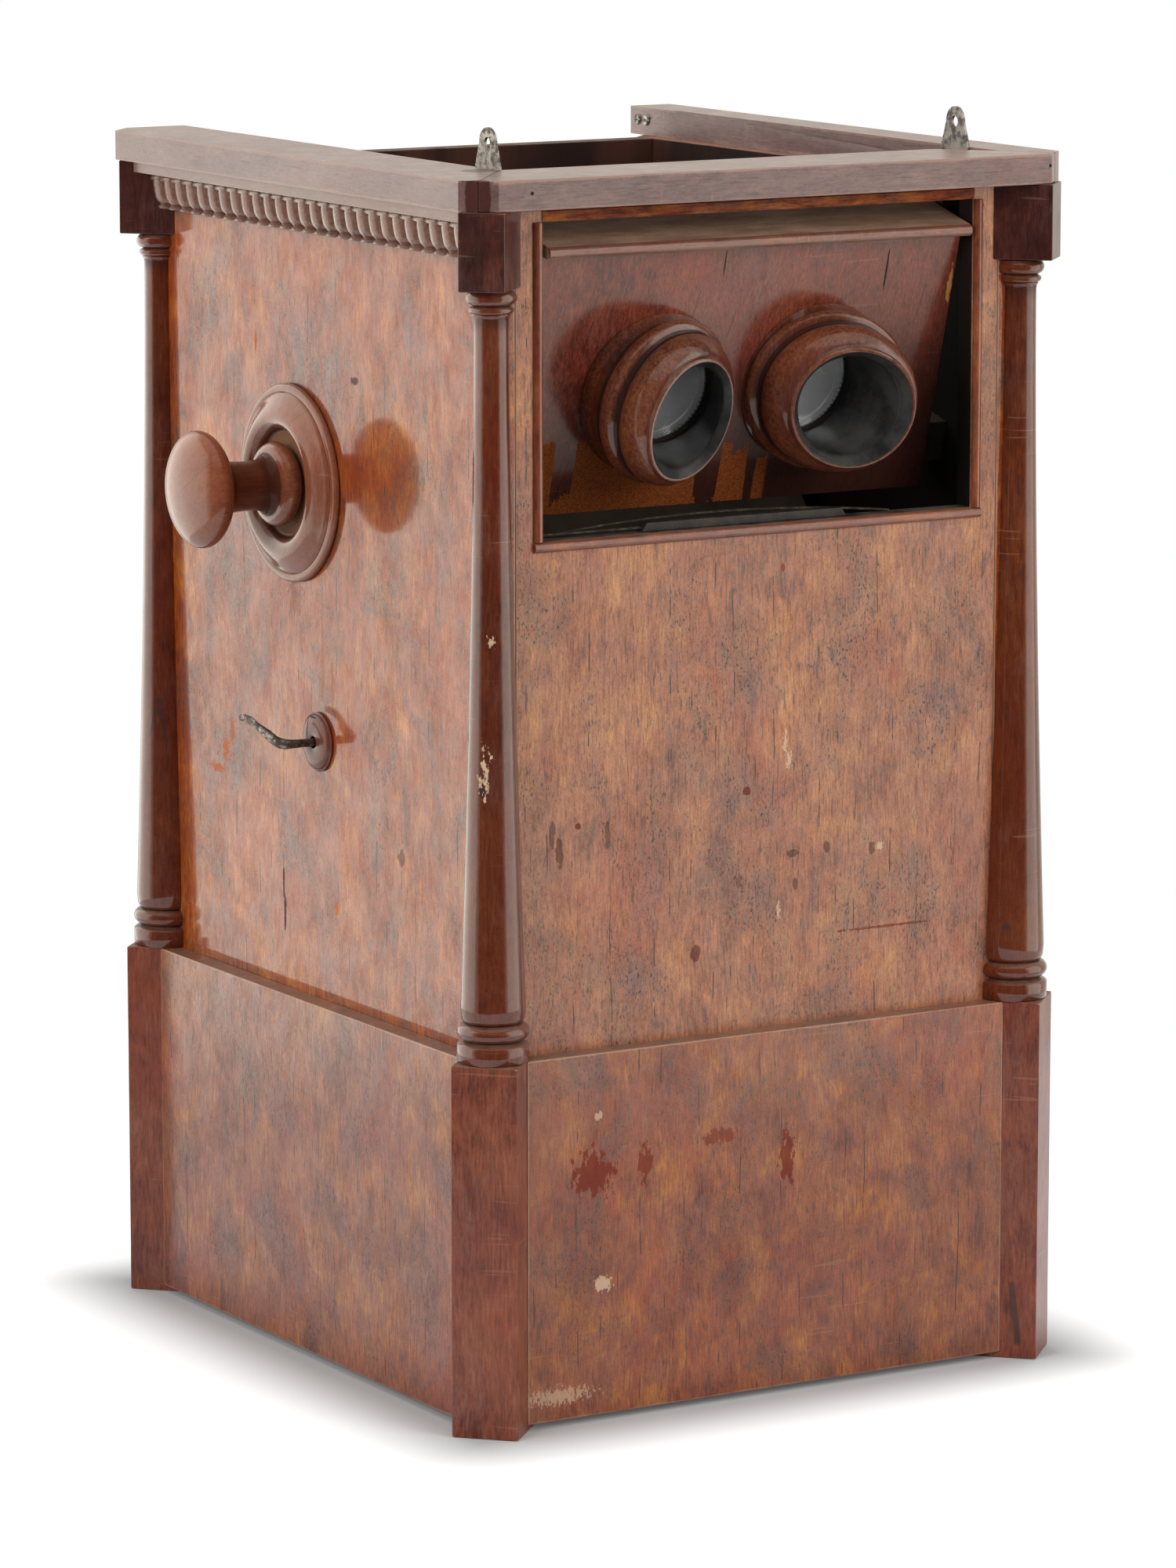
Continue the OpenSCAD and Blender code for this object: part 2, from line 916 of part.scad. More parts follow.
// The shaft through the wall and the arm outside, which bends back and ends in a flat
module stop_lever() {
    reach = norm(lever_arm);
    tilt = acos(lever_arm[2] / reach);
    heading = atan2(lever_arm[1], lever_arm[0]);
    color("#8f8b84") {
        bar_x(rod_r, -elbow_x, -finger_x + 3, lever_y, lever_z);
        translate([-elbow_x, lever_y, lever_z]) {
            sphere(r = rod_r);
            rotate([0, tilt, heading]) {
                cylinder(r = rod_r, h = reach);
                translate([0, 0.8, reach])
                    rotate([90, 0, 0])
                        cylinder(r = 3, h = 1.6);
            }
        }
    }
}

module stop_collar() {
    color("#8d8064")
        difference() {
            bar_x(4, -inner_x + 0.4, -inner_x + 4.4, lever_y, lever_z);
            bar_x(rod_r, -case_x, 0, lever_y, lever_z);
        }
}

// A wire finger beside the hanging cards, with its tip turned in past their edges
module stop_finger() {
    wire_r = 1;
    hub_r = 3.5;
    color("#8f8b84")
        difference() {
            union() {
                bar_x(hub_r, -finger_x - 1.5, -finger_x + 1.5, lever_y, lever_z);
                translate([-finger_x, lever_y, lever_z])
                    cylinder(r = wire_r, h = finger_h);
                translate([-finger_x, lever_y, lever_z + finger_h])
                    sphere(r = wire_r);
                bar_x(wire_r, -finger_x, -finger_x + 6, lever_y, lever_z + finger_h);
            }
            bar_x(rod_r, -case_x, 0, lever_y, lever_z);
        }
}

// ---- Nodes ----

bottom_board();
plinth_front();
plinth_back();
plinth_left();
plinth_right();
corner(-1, -1) post();  // post_front_left
corner(1, -1) post();  // post_front_right
corner(-1, 1) post();  // post_back_left
corner(1, 1) post();  // post_back_right
front_panel();
back_panel();
left_wall();
right_wall();
corner(-1, -1) column();  // column_front_left
corner(1, -1) column();  // column_front_right
corner(-1, 1) column();  // column_back_left
corner(1, 1) column();  // column_back_right
capital_blocks();
cap_rail_left();
cap_rail_front();
cap_rail_right();
cornice_fillets();
gadroon_left();
gadroon_right();
front_split_strip();
bead_sides();
bead_sill();
sill_strip();
sill_rod();
leaf_spring();
lug_left();
lug_right();
slotted_screws();
hinge_blocks();
board_stops();
rosette_left();
rosette_right();
axle_bushes();
card_tapes();
card_holders();
stereo_cards();
lever_escutcheon();
lever_bush();
lens_board();
canopy();
hinge_pins();
eyepiece_left();
eyepiece_right();
lens_left();
lens_right();
lens_rings();
drum_axle();
card_drum();
drum_flanges();
knob_left();
knob_right();
stop_lever();
stop_collar();
stop_finger();
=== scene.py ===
"""Looks of a table-top revolving stereoscope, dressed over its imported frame.

The cabinet is veneered and French-polished, with turned columns, a reeded cornice and a worn cap.
Everything is in metres, in the frame's own axes: +Z is up and the eyepieces look towards -Y.
"""

from __future__ import annotations

import logging
import math
from dataclasses import dataclass, replace
from enum import Enum
from typing import Callable, Iterable, Sequence

import bpy
import numpy as np
from mathutils import Matrix, Vector

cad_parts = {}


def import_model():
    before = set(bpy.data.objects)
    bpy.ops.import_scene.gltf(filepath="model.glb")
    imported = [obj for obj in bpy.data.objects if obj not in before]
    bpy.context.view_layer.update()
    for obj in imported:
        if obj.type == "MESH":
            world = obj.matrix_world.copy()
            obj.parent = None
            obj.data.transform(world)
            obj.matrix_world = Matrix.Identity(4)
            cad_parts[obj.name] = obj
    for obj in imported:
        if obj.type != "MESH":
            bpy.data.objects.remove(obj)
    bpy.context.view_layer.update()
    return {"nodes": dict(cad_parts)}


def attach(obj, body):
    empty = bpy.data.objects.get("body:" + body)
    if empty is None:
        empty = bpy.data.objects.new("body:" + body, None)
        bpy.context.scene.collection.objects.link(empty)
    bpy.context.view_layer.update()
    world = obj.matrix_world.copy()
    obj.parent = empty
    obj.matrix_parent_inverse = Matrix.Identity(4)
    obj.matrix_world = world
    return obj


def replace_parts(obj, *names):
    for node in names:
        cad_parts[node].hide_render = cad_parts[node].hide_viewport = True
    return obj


LOG = logging.getLogger("stereoscope")

# Sizes that several sub-assemblies share: MM in metres, the lean in radians and the rest in mm
MM = 0.001
HALF_WIDTH, HALF_DEPTH = 116.5, 131.5
AXLE_Y, AXLE_Z = 22.0, 341.5
PIVOT_Y, PIVOT_Z = -101.0, 449.75
BOARD_LEAN, BOARD_FACE = math.radians(15), -128.5
LENS_SPACING, LENS_HEIGHT = 62.0, 390.0

# Points closer than this become one when a new form is closed, in metres
MERGE = 3e-6

# Half the depth of a mark on a flat face, in mm
MARK_DEPTH = 3

Colour = tuple[float, float, float, float]
Socket = bpy.types.NodeSocket
Piece = bpy.types.Object
Outline = Sequence[tuple[float, float]]


class Body(Enum):
    """The rigid bodies that pieces ride on."""

    CASE = "case"
    LENS_BOARD = "lens_board_set"
    DRUM = "drum"
    CARD_STOP = "card_stop"


class Side(Enum):
    """A side of the cabinet, as the sign of X."""

    LEFT = -1
    RIGHT = 1


class Grain(Enum):
    """Which way the grain of a piece runs, as the order of its axes."""

    UPRIGHT = (0, 1, 2)
    ALONG_X = (2, 1, 0)
    ALONG_Y = (0, 2, 1)


def rgb(red: float, green: float, blue: float) -> Colour:
    """Gives an opaque linear colour."""
    return (red, green, blue, 1.0)


# ---------------------------------------------------------------------------------------------
# Shader tools
# ---------------------------------------------------------------------------------------------


class Value:
    """What a socket puts out, on which plain arithmetic adds math nodes."""

    def __init__(self, graph: Graph, socket: Socket) -> None:
        """Takes a graph and one of its sockets."""
        self.graph, self.socket = graph, socket

    def __add__(self, other: object) -> Value:
        """Adds something to it."""
        return self.graph.math("ADD", self, other)

    def __radd__(self, other: object) -> Value:
        """Adds it to a number."""
        return self.graph.math("ADD", other, self)

    def __sub__(self, other: object) -> Value:
        """Takes something from it."""
        return self.graph.math("SUBTRACT", self, other)

    def __rsub__(self, other: object) -> Value:
        """Takes it from a number."""
        return self.graph.math("SUBTRACT", other, self)

    def __mul__(self, other: object) -> Value:
        """Multiplies it."""
        return self.graph.math("MULTIPLY", self, other)

    def __abs__(self) -> Value:
        """Drops its sign."""
        return self.graph.math("ABSOLUTE", self)

    def clamped(self) -> Value:
        """Keeps the result of the last sum between 0 and 1."""
        self.socket.node.use_clamp = True
        return self


class Graph:
    """A node tree with short ways to add nodes and join them."""

    def __init__(self, tree: bpy.types.NodeTree) -> None:
        """Takes a tree and empties it."""
        self.tree = tree
        tree.nodes.clear()

    def add(self, kind: str, **settings: object) -> bpy.types.Node:
        """Adds a node.

        Args:
            kind: The node's type name.
            settings: Attributes to set on it.

        Returns:
            The new node.
        """
        node = self.tree.nodes.new(kind)
        for name, value in settings.items():
            setattr(node, name, value)
        return node

    def feed(self, socket: Socket, value: object) -> None:
        """Links a socket to a value, or sets it to a constant.

        Args:
            socket: The socket.
            value: A value of this graph, or a constant.
        """
        if isinstance(value, Value):
            self.tree.links.new(value.socket, socket)
        else:
            socket.default_value = value

    def fed(self, kind: str, out: int | str, *values: object, **settings: object) -> Value:
        """Adds a node, feeds its first inputs and returns one of its outputs.

        Args:
            kind: The node's type name.
            out: The output.
            values: What feeds the inputs, in order.
            settings: Attributes to set on the node.

        Returns:
            The output's value.
        """
        node = self.add(kind, **settings)
        for socket, value in zip(node.inputs, values):
            self.feed(socket, value)
        return Value(self, node.outputs[out])

    def math(self, operation: str, a: object, b: object = 0.0) -> Value:
        """Adds a math node and returns its result."""
        return self.fed("ShaderNodeMath", 0, a, b, operation=operation)

    def most(self, a: object, b: object) -> Value:
        """Returns the greater of two values."""
        return self.math("MAXIMUM", a, b)

    def least(self, a: object, b: object) -> Value:
        """Returns the smaller of two values."""
        return self.math("MINIMUM", a, b)

    def vector(self, operation: str, a: object, b: object = (0, 0, 0)) -> Value:
        """Adds a vector math node and returns its vector."""
        return self.fed("ShaderNodeVectorMath", 0, a, b, operation=operation)

    def length(self, a: object) -> Value:
        """Returns the length of a vector."""
        return self.fed("ShaderNodeVectorMath", "Value", a, operation="LENGTH")

    def mix(self, factor: object, a: object, b: object, blend: str = "MIX") -> Value:
        """Mixes two colours.

        Args:
            factor: How much of the second colour shows.
            a: The first colour.
            b: The second colour.
            blend: The blend mode.

        Returns:
            The mixed colour.
        """
        node = self.add("ShaderNodeMix", data_type="RGBA", blend_type=blend)
        for label, value in (("Factor_Float", factor), ("A_Color", a), ("B_Color", b)):
            self.feed(next(s for s in node.inputs if s.identifier == label), value)
        return Value(self, next(s for s in node.outputs if s.identifier == "Result_Color"))

    def step(self, value: object, low: object, high: object) -> Value:
        """Returns 0 below low, 1 above high, and a smooth rise between them."""
        return self.fed("ShaderNodeMapRange", "Result", value, low, high,
                        interpolation_type="SMOOTHSTEP")

    def noise(self, place: object, scale: object, detail: float = 2.0,
              rough: float = 0.5) -> Value:
        """Returns the value of a noise texture."""
        return self.fed("ShaderNodeTexNoise", "Fac", place, 0.0, scale, detail, rough)

    def stretched(self, place: object, scale: tuple[float, float, float],
                  shift: tuple[float, float, float] = (0, 0, 0)) -> Value:
        """Returns a place scaled along each axis, after a shift."""
        return self.vector("MULTIPLY", self.vector("ADD", place, shift), scale)

    def split(self, place: object) -> tuple[Value, Value, Value]:
        """Returns the three parts of a vector.

        Args:
            place: The vector.

        Returns:
            Its parts along X, Y and Z.
        """
        node = self.add("ShaderNodeSeparateXYZ")
        self.feed(node.inputs[0], place)
        return tuple(Value(self, socket) for socket in node.outputs)

    def ray(self, kind: str) -> Value:
        """Returns whether a ray is of a kind, such as Camera."""
        return self.fed("ShaderNodeLightPath", f"Is {kind} Ray")

    def join(self, x: object, y: object, z: object) -> Value:
        """Returns a vector made of three values."""
        return self.fed("ShaderNodeCombineXYZ", 0, x, y, z)


@dataclass(frozen=True)
class Effect:
    """A shader node group that several finishes share.

    Attributes:
        name: The group's name.
        inputs: Each input's name, kind and default.
        outputs: Each output's name and kind.
        wiring: Fills the group: it takes the graph and the inputs by name, and returns the outputs.
    """

    name: str
    inputs: tuple[tuple[str, str, object], ...]
    outputs: tuple[tuple[str, str], ...]
    wiring: Callable[[Graph, dict[str, Value]], dict[str, Value]]

    def tree(self) -> bpy.types.NodeTree:
        """Returns the group's tree, built on first use.

        Returns:
            The tree.
        """
        found = bpy.data.node_groups.get(self.name)
        if found:
            return found
        tree = bpy.data.node_groups.new(self.name, "ShaderNodeTree")
        new_socket = tree.interface.new_socket
        for label, kind, default in self.inputs:
            socket = new_socket(label, in_out="INPUT", socket_type=f"NodeSocket{kind}")
            socket.default_value = default
        for label, kind in self.outputs:
            new_socket(label, in_out="OUTPUT", socket_type=f"NodeSocket{kind}")
        graph = Graph(tree)
        start = graph.add("NodeGroupInput")
        end = graph.add("NodeGroupOutput")
        inputs = {label: Value(graph, start.outputs[label]) for label, _, _ in self.inputs}
        results = self.wiring(graph, inputs)
        for label, value in results.items():
            graph.feed(end.inputs[label], value)
        return tree

    def place(self, graph: Graph, **values: object) -> dict[str, Value]:
        """Puts the group in a material.

        Args:
            graph: The material's graph.
            values: Inputs by name, with underscores for spaces.

        Returns:
            The outputs by name.
        """
        node = graph.add("ShaderNodeGroup")
        node.node_tree = self.tree()
        for label, value in values.items():
            graph.feed(node.inputs[label.replace("_", " ")], value)
        return {label: Value(graph, node.outputs[label]) for label, _ in self.outputs}


def wire_figure(g: Graph, i: dict[str, Value]) -> dict[str, Value]:
    """Fills the group for figured veneer: fibres over soft mottling, dark specks and hairlines.

    Args:
        g: The group's graph.
        i: The group's inputs by name.

    Returns:
        The group's outputs by name.
    """
    bend = g.fed("ShaderNodeTexNoise", "Color", i["Place"], 0.0, 22.0, 2.0)
    offset = g.vector("MULTIPLY", g.vector("SUBTRACT", bend, (0.5, 0.5, 0.5)), (0.02, 0.02, 0.02))
    place = g.vector("ADD", i["Place"], offset)
    fibre = g.noise(g.stretched(i["Place"], (1, 1, 0.10)), 1250, 3, 0.65)
    ribbon = g.noise(g.stretched(place, (1, 1, 0.20), (0.3, 0.1, 0)), 330, 4, 0.65)
    threads = fibre * 0.7 + ribbon - 0.85
    arc = g.length(g.vector("SUBTRACT", place, i["Eye"]))
    swirl = (g.noise(g.join(arc * i["Arcs"], 0.0, 0.0), 1.0, 2) - 0.5) * i["Swirl"]
    mottle = g.noise(g.stretched(place, (1, 1, 0.7)), i["Mottle"], 8, 0.70)
    tone = mottle + i["Balance"] + threads * i["Ribbon"] + swirl
    colour = g.mix(g.step(tone, 0.25, 0.52), i["Dark"], i["Middle"])
    colour = g.mix(g.step(tone, 0.46, 0.76), colour, i["Light"])
    red = g.step(g.noise(g.stretched(place, (1, 1, 0.6), (0.4, 0.7, 0.1)), 26, 3, 0.6), 0.46, 0.70)
    colour = g.mix(red * 0.45, colour, i["Red"])
    smoky = g.noise(g.stretched(place, (1, 1, 0.75), (0.7, 0.2, 0.4)), 33, 5, 0.66) + swirl
    cluster = g.step(smoky, 0.45, 0.64)
    smoke = cluster * g.step(threads, -0.16, 0.14)
    colour = g.mix((smoke * i["Smoke"]).clamped(), colour, i["Shade"])
    ticks = g.noise(g.stretched(place, (1, 1, 0.17), (0.6, 0.1, 0.8)), 620, 2, 0.6)
    ticked = g.noise(g.stretched(place, (1, 1, 1.4), (0.3, 0.6, 0.2)), 24, 4, 0.65)
    ticks = g.step(ticks, 0.56, 0.68) * g.step(ticked, 0.42, 0.60) * (i["Clusters"] * 0.7)
    colour = g.mix(ticks, colour, i["Shade"])
    specks = g.noise(g.stretched(i["Place"], (1, 1, 0.4), (0.2, 0.5, 0.1)), 1500, 1)
    specks = g.step(specks, 0.60, 0.67) * (cluster * 0.9 + 0.1)
    colour = g.mix((specks * i["Clusters"]).clamped(), colour, i["Pores"])
    x, y, z = g.split(i["Place"])
    wander = g.noise(g.stretched(i["Place"], (1, 1, 0.3)), 35, 2) * 0.7
    across = x * 110 + y * 96 + wander
    cell = g.math("FLOOR", across)
    course = g.noise(g.join(cell * 7.3, 0.5, 0.0), 1.0, 1)
    thin = abs(g.math("FRACT", across) - course)
    breaks = g.noise(g.join(cell * 1.37, 0.0, z * 42), 1.0, 3, 0.7)
    hair = (1.0 - g.step(thin, 0.012, 0.034)) * g.step(breaks, 0.54, 0.6)
    pore = g.noise(g.stretched(i["Place"], (1, 1, 0.09), (0.9, 0.3, 0.2)), 1700, 1)
    fine = g.noise(g.stretched(i["Place"], (1, 1, 0.6)), 2300, 2, 0.7)
    shine = (fine + fibre) * i["Fibres"] + (1.0 - i["Fibres"])
    colour = g.mix(1.0, colour, g.join(shine, shine, shine), "MULTIPLY")
    marks = g.most(g.step(pore, 0.58, 0.72) * 0.5, hair)
    colour = g.mix((marks * i["Pore Depth"]).clamped(), colour, i["Pores"])
    height = fibre * 0.25 - marks
    cloud = g.noise(g.stretched(place, (1, 1, 0.6), (0.2, 0.9, 0.3)), 75, 8, 0.8)
    sheen = fine * 0.45 + cloud * 0.55
    holes = g.most(specks * i["Clusters"], marks * i["Pore Depth"]).clamped()
    sheen = g.step(sheen, 0.34, 0.62) * (1.0 - holes * 0.85)
    return {"Colour": colour, "Height": height, "Sheen": sheen}


FIGURE = Effect(
    "wood_figure",
    (("Place", "Vector", (0, 0, 0)), ("Eye", "Vector", (0, 0, 0.3)),
     ("Light", "Color", rgb(0.45, 0.2, 0.07)), ("Middle", "Color", rgb(0.3, 0.1, 0.05)),
     ("Dark", "Color", rgb(0.15, 0.04, 0.03)), ("Red", "Color", rgb(0.3, 0.06, 0.03)),
     ("Shade", "Color", rgb(0.1, 0.07, 0.07)), ("Pores", "Color", rgb(0.04, 0.02, 0.02)),
     ("Mottle", "Float", 30.0), ("Ribbon", "Float", 0.3), ("Arcs", "Float", 90.0),
     ("Swirl", "Float", 0.0), ("Balance", "Float", 0.0), ("Clusters", "Float", 0.8),
     ("Smoke", "Float", 0.4), ("Pore Depth", "Float", 0.7), ("Fibres", "Float", 0.6)),
    (("Colour", "Color"), ("Height", "Float"), ("Sheen", "Float")),
    wire_figure)


def wire_edges(g: Graph, i: dict[str, Value]) -> dict[str, Value]:
    """Fills the group for rubbed edges: it finds how near a point is to an edge of a box.

    Args:
        g: The group's graph.
        i: The group's inputs by name.

    Returns:
        The group's outputs by name.
    """
    low = g.split(g.vector("SUBTRACT", i["Place"], i["Low"]))
    high = g.split(g.vector("SUBTRACT", i["High"], i["Place"]))
    x, y, z = (g.least(a, b) for a, b in zip(low, high))
    second = g.least(g.most(x, y), g.least(g.most(y, z), g.most(x, z)))
    ragged = g.noise(i["Place"], 120, 4, 0.7) * g.noise(i["Place"], 23, 2)
    reach = ragged * 4.0 * i["Width"]
    near = 1.0 - g.step(second, reach * 0.5, reach)
    return {"Mask": (near * i["Amount"]).clamped()}


EDGES = Effect(
    "rubbed_edges",
    (("Place", "Vector", (0, 0, 0)), ("Low", "Vector", (-1, -1, -1)), ("High", "Vector", (1, 1, 1)),
     ("Width", "Float", 0.001), ("Amount", "Float", 1.0)),
    (("Mask", "Float"),),
    wire_edges)


def wire_scuffs(g: Graph, i: dict[str, Value]) -> dict[str, Value]:
    """Fills the group for wear: sparse chips, fine scratches and dulled patches.

    Args:
        g: The group's graph.
        i: The group's inputs by name.

    Returns:
        The group's outputs by name.
    """
    sparse = g.step(g.noise(i["Place"], 7.3, 1), 0.52, 0.62)
    chips = g.step(g.noise(g.stretched(i["Place"], (1, 1, 0.55)), 190, 5, 0.75), 0.69, 0.71)
    chips = (chips * (sparse * i["Chips"])).clamped()
    lines = g.noise(g.stretched(i["Place"], (0.05, 0.05, 1), (0.1, 0.4, 0.2)), 900, 0)
    there = g.step(g.noise(i["Place"], 21, 2), 0.55, 0.65)
    scratches = (g.step(lines, 0.74, 0.77) * there * i["Scratches"]).clamped()
    dull = g.step(g.noise(i["Place"], 13, 5, 0.7), 0.42, 0.68)
    return {"Chips": chips, "Scratches": scratches, "Dull": dull}


SCUFFS = Effect(
    "scuffs",
    (("Place", "Vector", (0, 0, 0)), ("Chips", "Float", 0.5), ("Scratches", "Float", 0.5)),
    (("Chips", "Float"), ("Scratches", "Float"), ("Dull", "Float")),
    wire_scuffs)


def wire_dust(g: Graph, i: dict[str, Value]) -> dict[str, Value]:
    """Fills the group for dust that has settled on faces that look up.

    Args:
        g: The group's graph.
        i: The group's inputs by name.

    Returns:
        The group's outputs by name.
    """
    flat = g.step(i["Up"], 0.55, 0.95)
    patchy = g.step(g.noise(i["Place"], 90, 4, 0.7), 0.25, 0.6)
    return {"Mask": (flat * patchy * i["Amount"]).clamped()}


DUST = Effect(
    "settled_dust",
    (("Place", "Vector", (0, 0, 0)), ("Up", "Float", 0.0), ("Amount", "Float", 0.5)),
    (("Mask", "Float"),),
    wire_dust)


def wire_spot(g: Graph, i: dict[str, Value]) -> dict[str, Value]:
    """Fills the group for one mark: a ragged ellipsoid around a centre.

    Args:
        g: The group's graph.
        i: The group's inputs by name.

    Returns:
        The group's outputs by name.
    """
    away = g.vector("DIVIDE", g.vector("SUBTRACT", i["Place"], i["Centre"]), i["Size"])
    wobble = g.noise(g.stretched(i["Place"], (1, 1, 0.5)), i["Grit"], 4, 0.7) - 0.5
    reach = g.length(away) + wobble * i["Ragged"]
    return {"Mask": 1.0 - g.step(reach, i["Core"], 1.0)}


SPOT = Effect(
    "spot",
    (("Place", "Vector", (0, 0, 0)), ("Centre", "Vector", (0, 0, 0)), ("Size", "Vector", (1, 1, 1)),
     ("Ragged", "Float", 1.0), ("Grit", "Float", 300.0), ("Core", "Float", 0.85)),
    (("Mask", "Float"),),
    wire_spot)


class Shading:
    """A material under construction: its graph, its Principled shader and where its points are."""

    def __init__(self, name: str) -> None:
        """Starts a material of that name.

        Args:
            name: The material's name.
        """
        self.material = bpy.data.materials.new(name)
        self.material.use_nodes = True
        self.graph = Graph(self.material.node_tree)
        self.shader = self.graph.add("ShaderNodeBsdfPrincipled")
        output = self.graph.add("ShaderNodeOutputMaterial")
        self.graph.tree.links.new(self.shader.outputs[0], output.inputs["Surface"])
        self.place = self.graph.fed("ShaderNodeTexCoord", "Object")

    def up(self) -> Value:
        """Returns how far a face looks up."""
        return self.graph.split(self.graph.fed("ShaderNodeNewGeometry", "Normal"))[2]

    def set(self, **values: object) -> None:
        """Sets or links the shader's sockets, named with underscores for spaces."""
        for label, value in values.items():
            self.graph.feed(self.shader.inputs[label.replace("_", " ")], value)

    def bump(self, height: Value, distance: float, strength: float = 1.0) -> None:
        """Feeds a height to the shader's normal.

        Args:
            height: The height.
            distance: Its full depth in metres.
            strength: How much of it shows.
        """
        node = self.graph.add("ShaderNodeBump")
        for label, value in (("Distance", distance), ("Strength", strength), ("Height", height)):
            self.graph.feed(node.inputs[label], value)
        self.set(Normal=Value(self.graph, node.outputs[0]))


@dataclass(frozen=True)
class Mark:
    """A stain, chip or dent at one place.

    Attributes:
        centre: Where it is, in mm.
        size: Its half sizes, in mm.
        colour: Its colour.
        strength: How much it covers.
        ragged: How uneven its outline is.
        grit: How fine the unevenness is, per metre.
    """

    centre: tuple[float, float, float]
    size: tuple[float, float, float]
    colour: Colour
    strength: float = 0.9
    ragged: float = 1.6
    grit: float = 300.0


def marks_on(axis: int, face: float, *rows: tuple) -> tuple[Mark, ...]:
    """Makes the marks of a flat face.

    Args:
        axis: The axis that the face looks along, as its number.
        face: Where the face is along that axis, in mm.
        rows: Each mark's place across and up the face, its half width and half height, and then
            what a Mark has after its size.

    Returns:
        The marks.
    """
    made = []
    for across, up, half_width, half_height, *looks in rows:
        centre, size = [across, up], [half_width, half_height]
        centre.insert(axis, face)
        size.insert(axis, MARK_DEPTH)
        made.append(Mark(tuple(centre), tuple(size), *looks))
    return tuple(made)


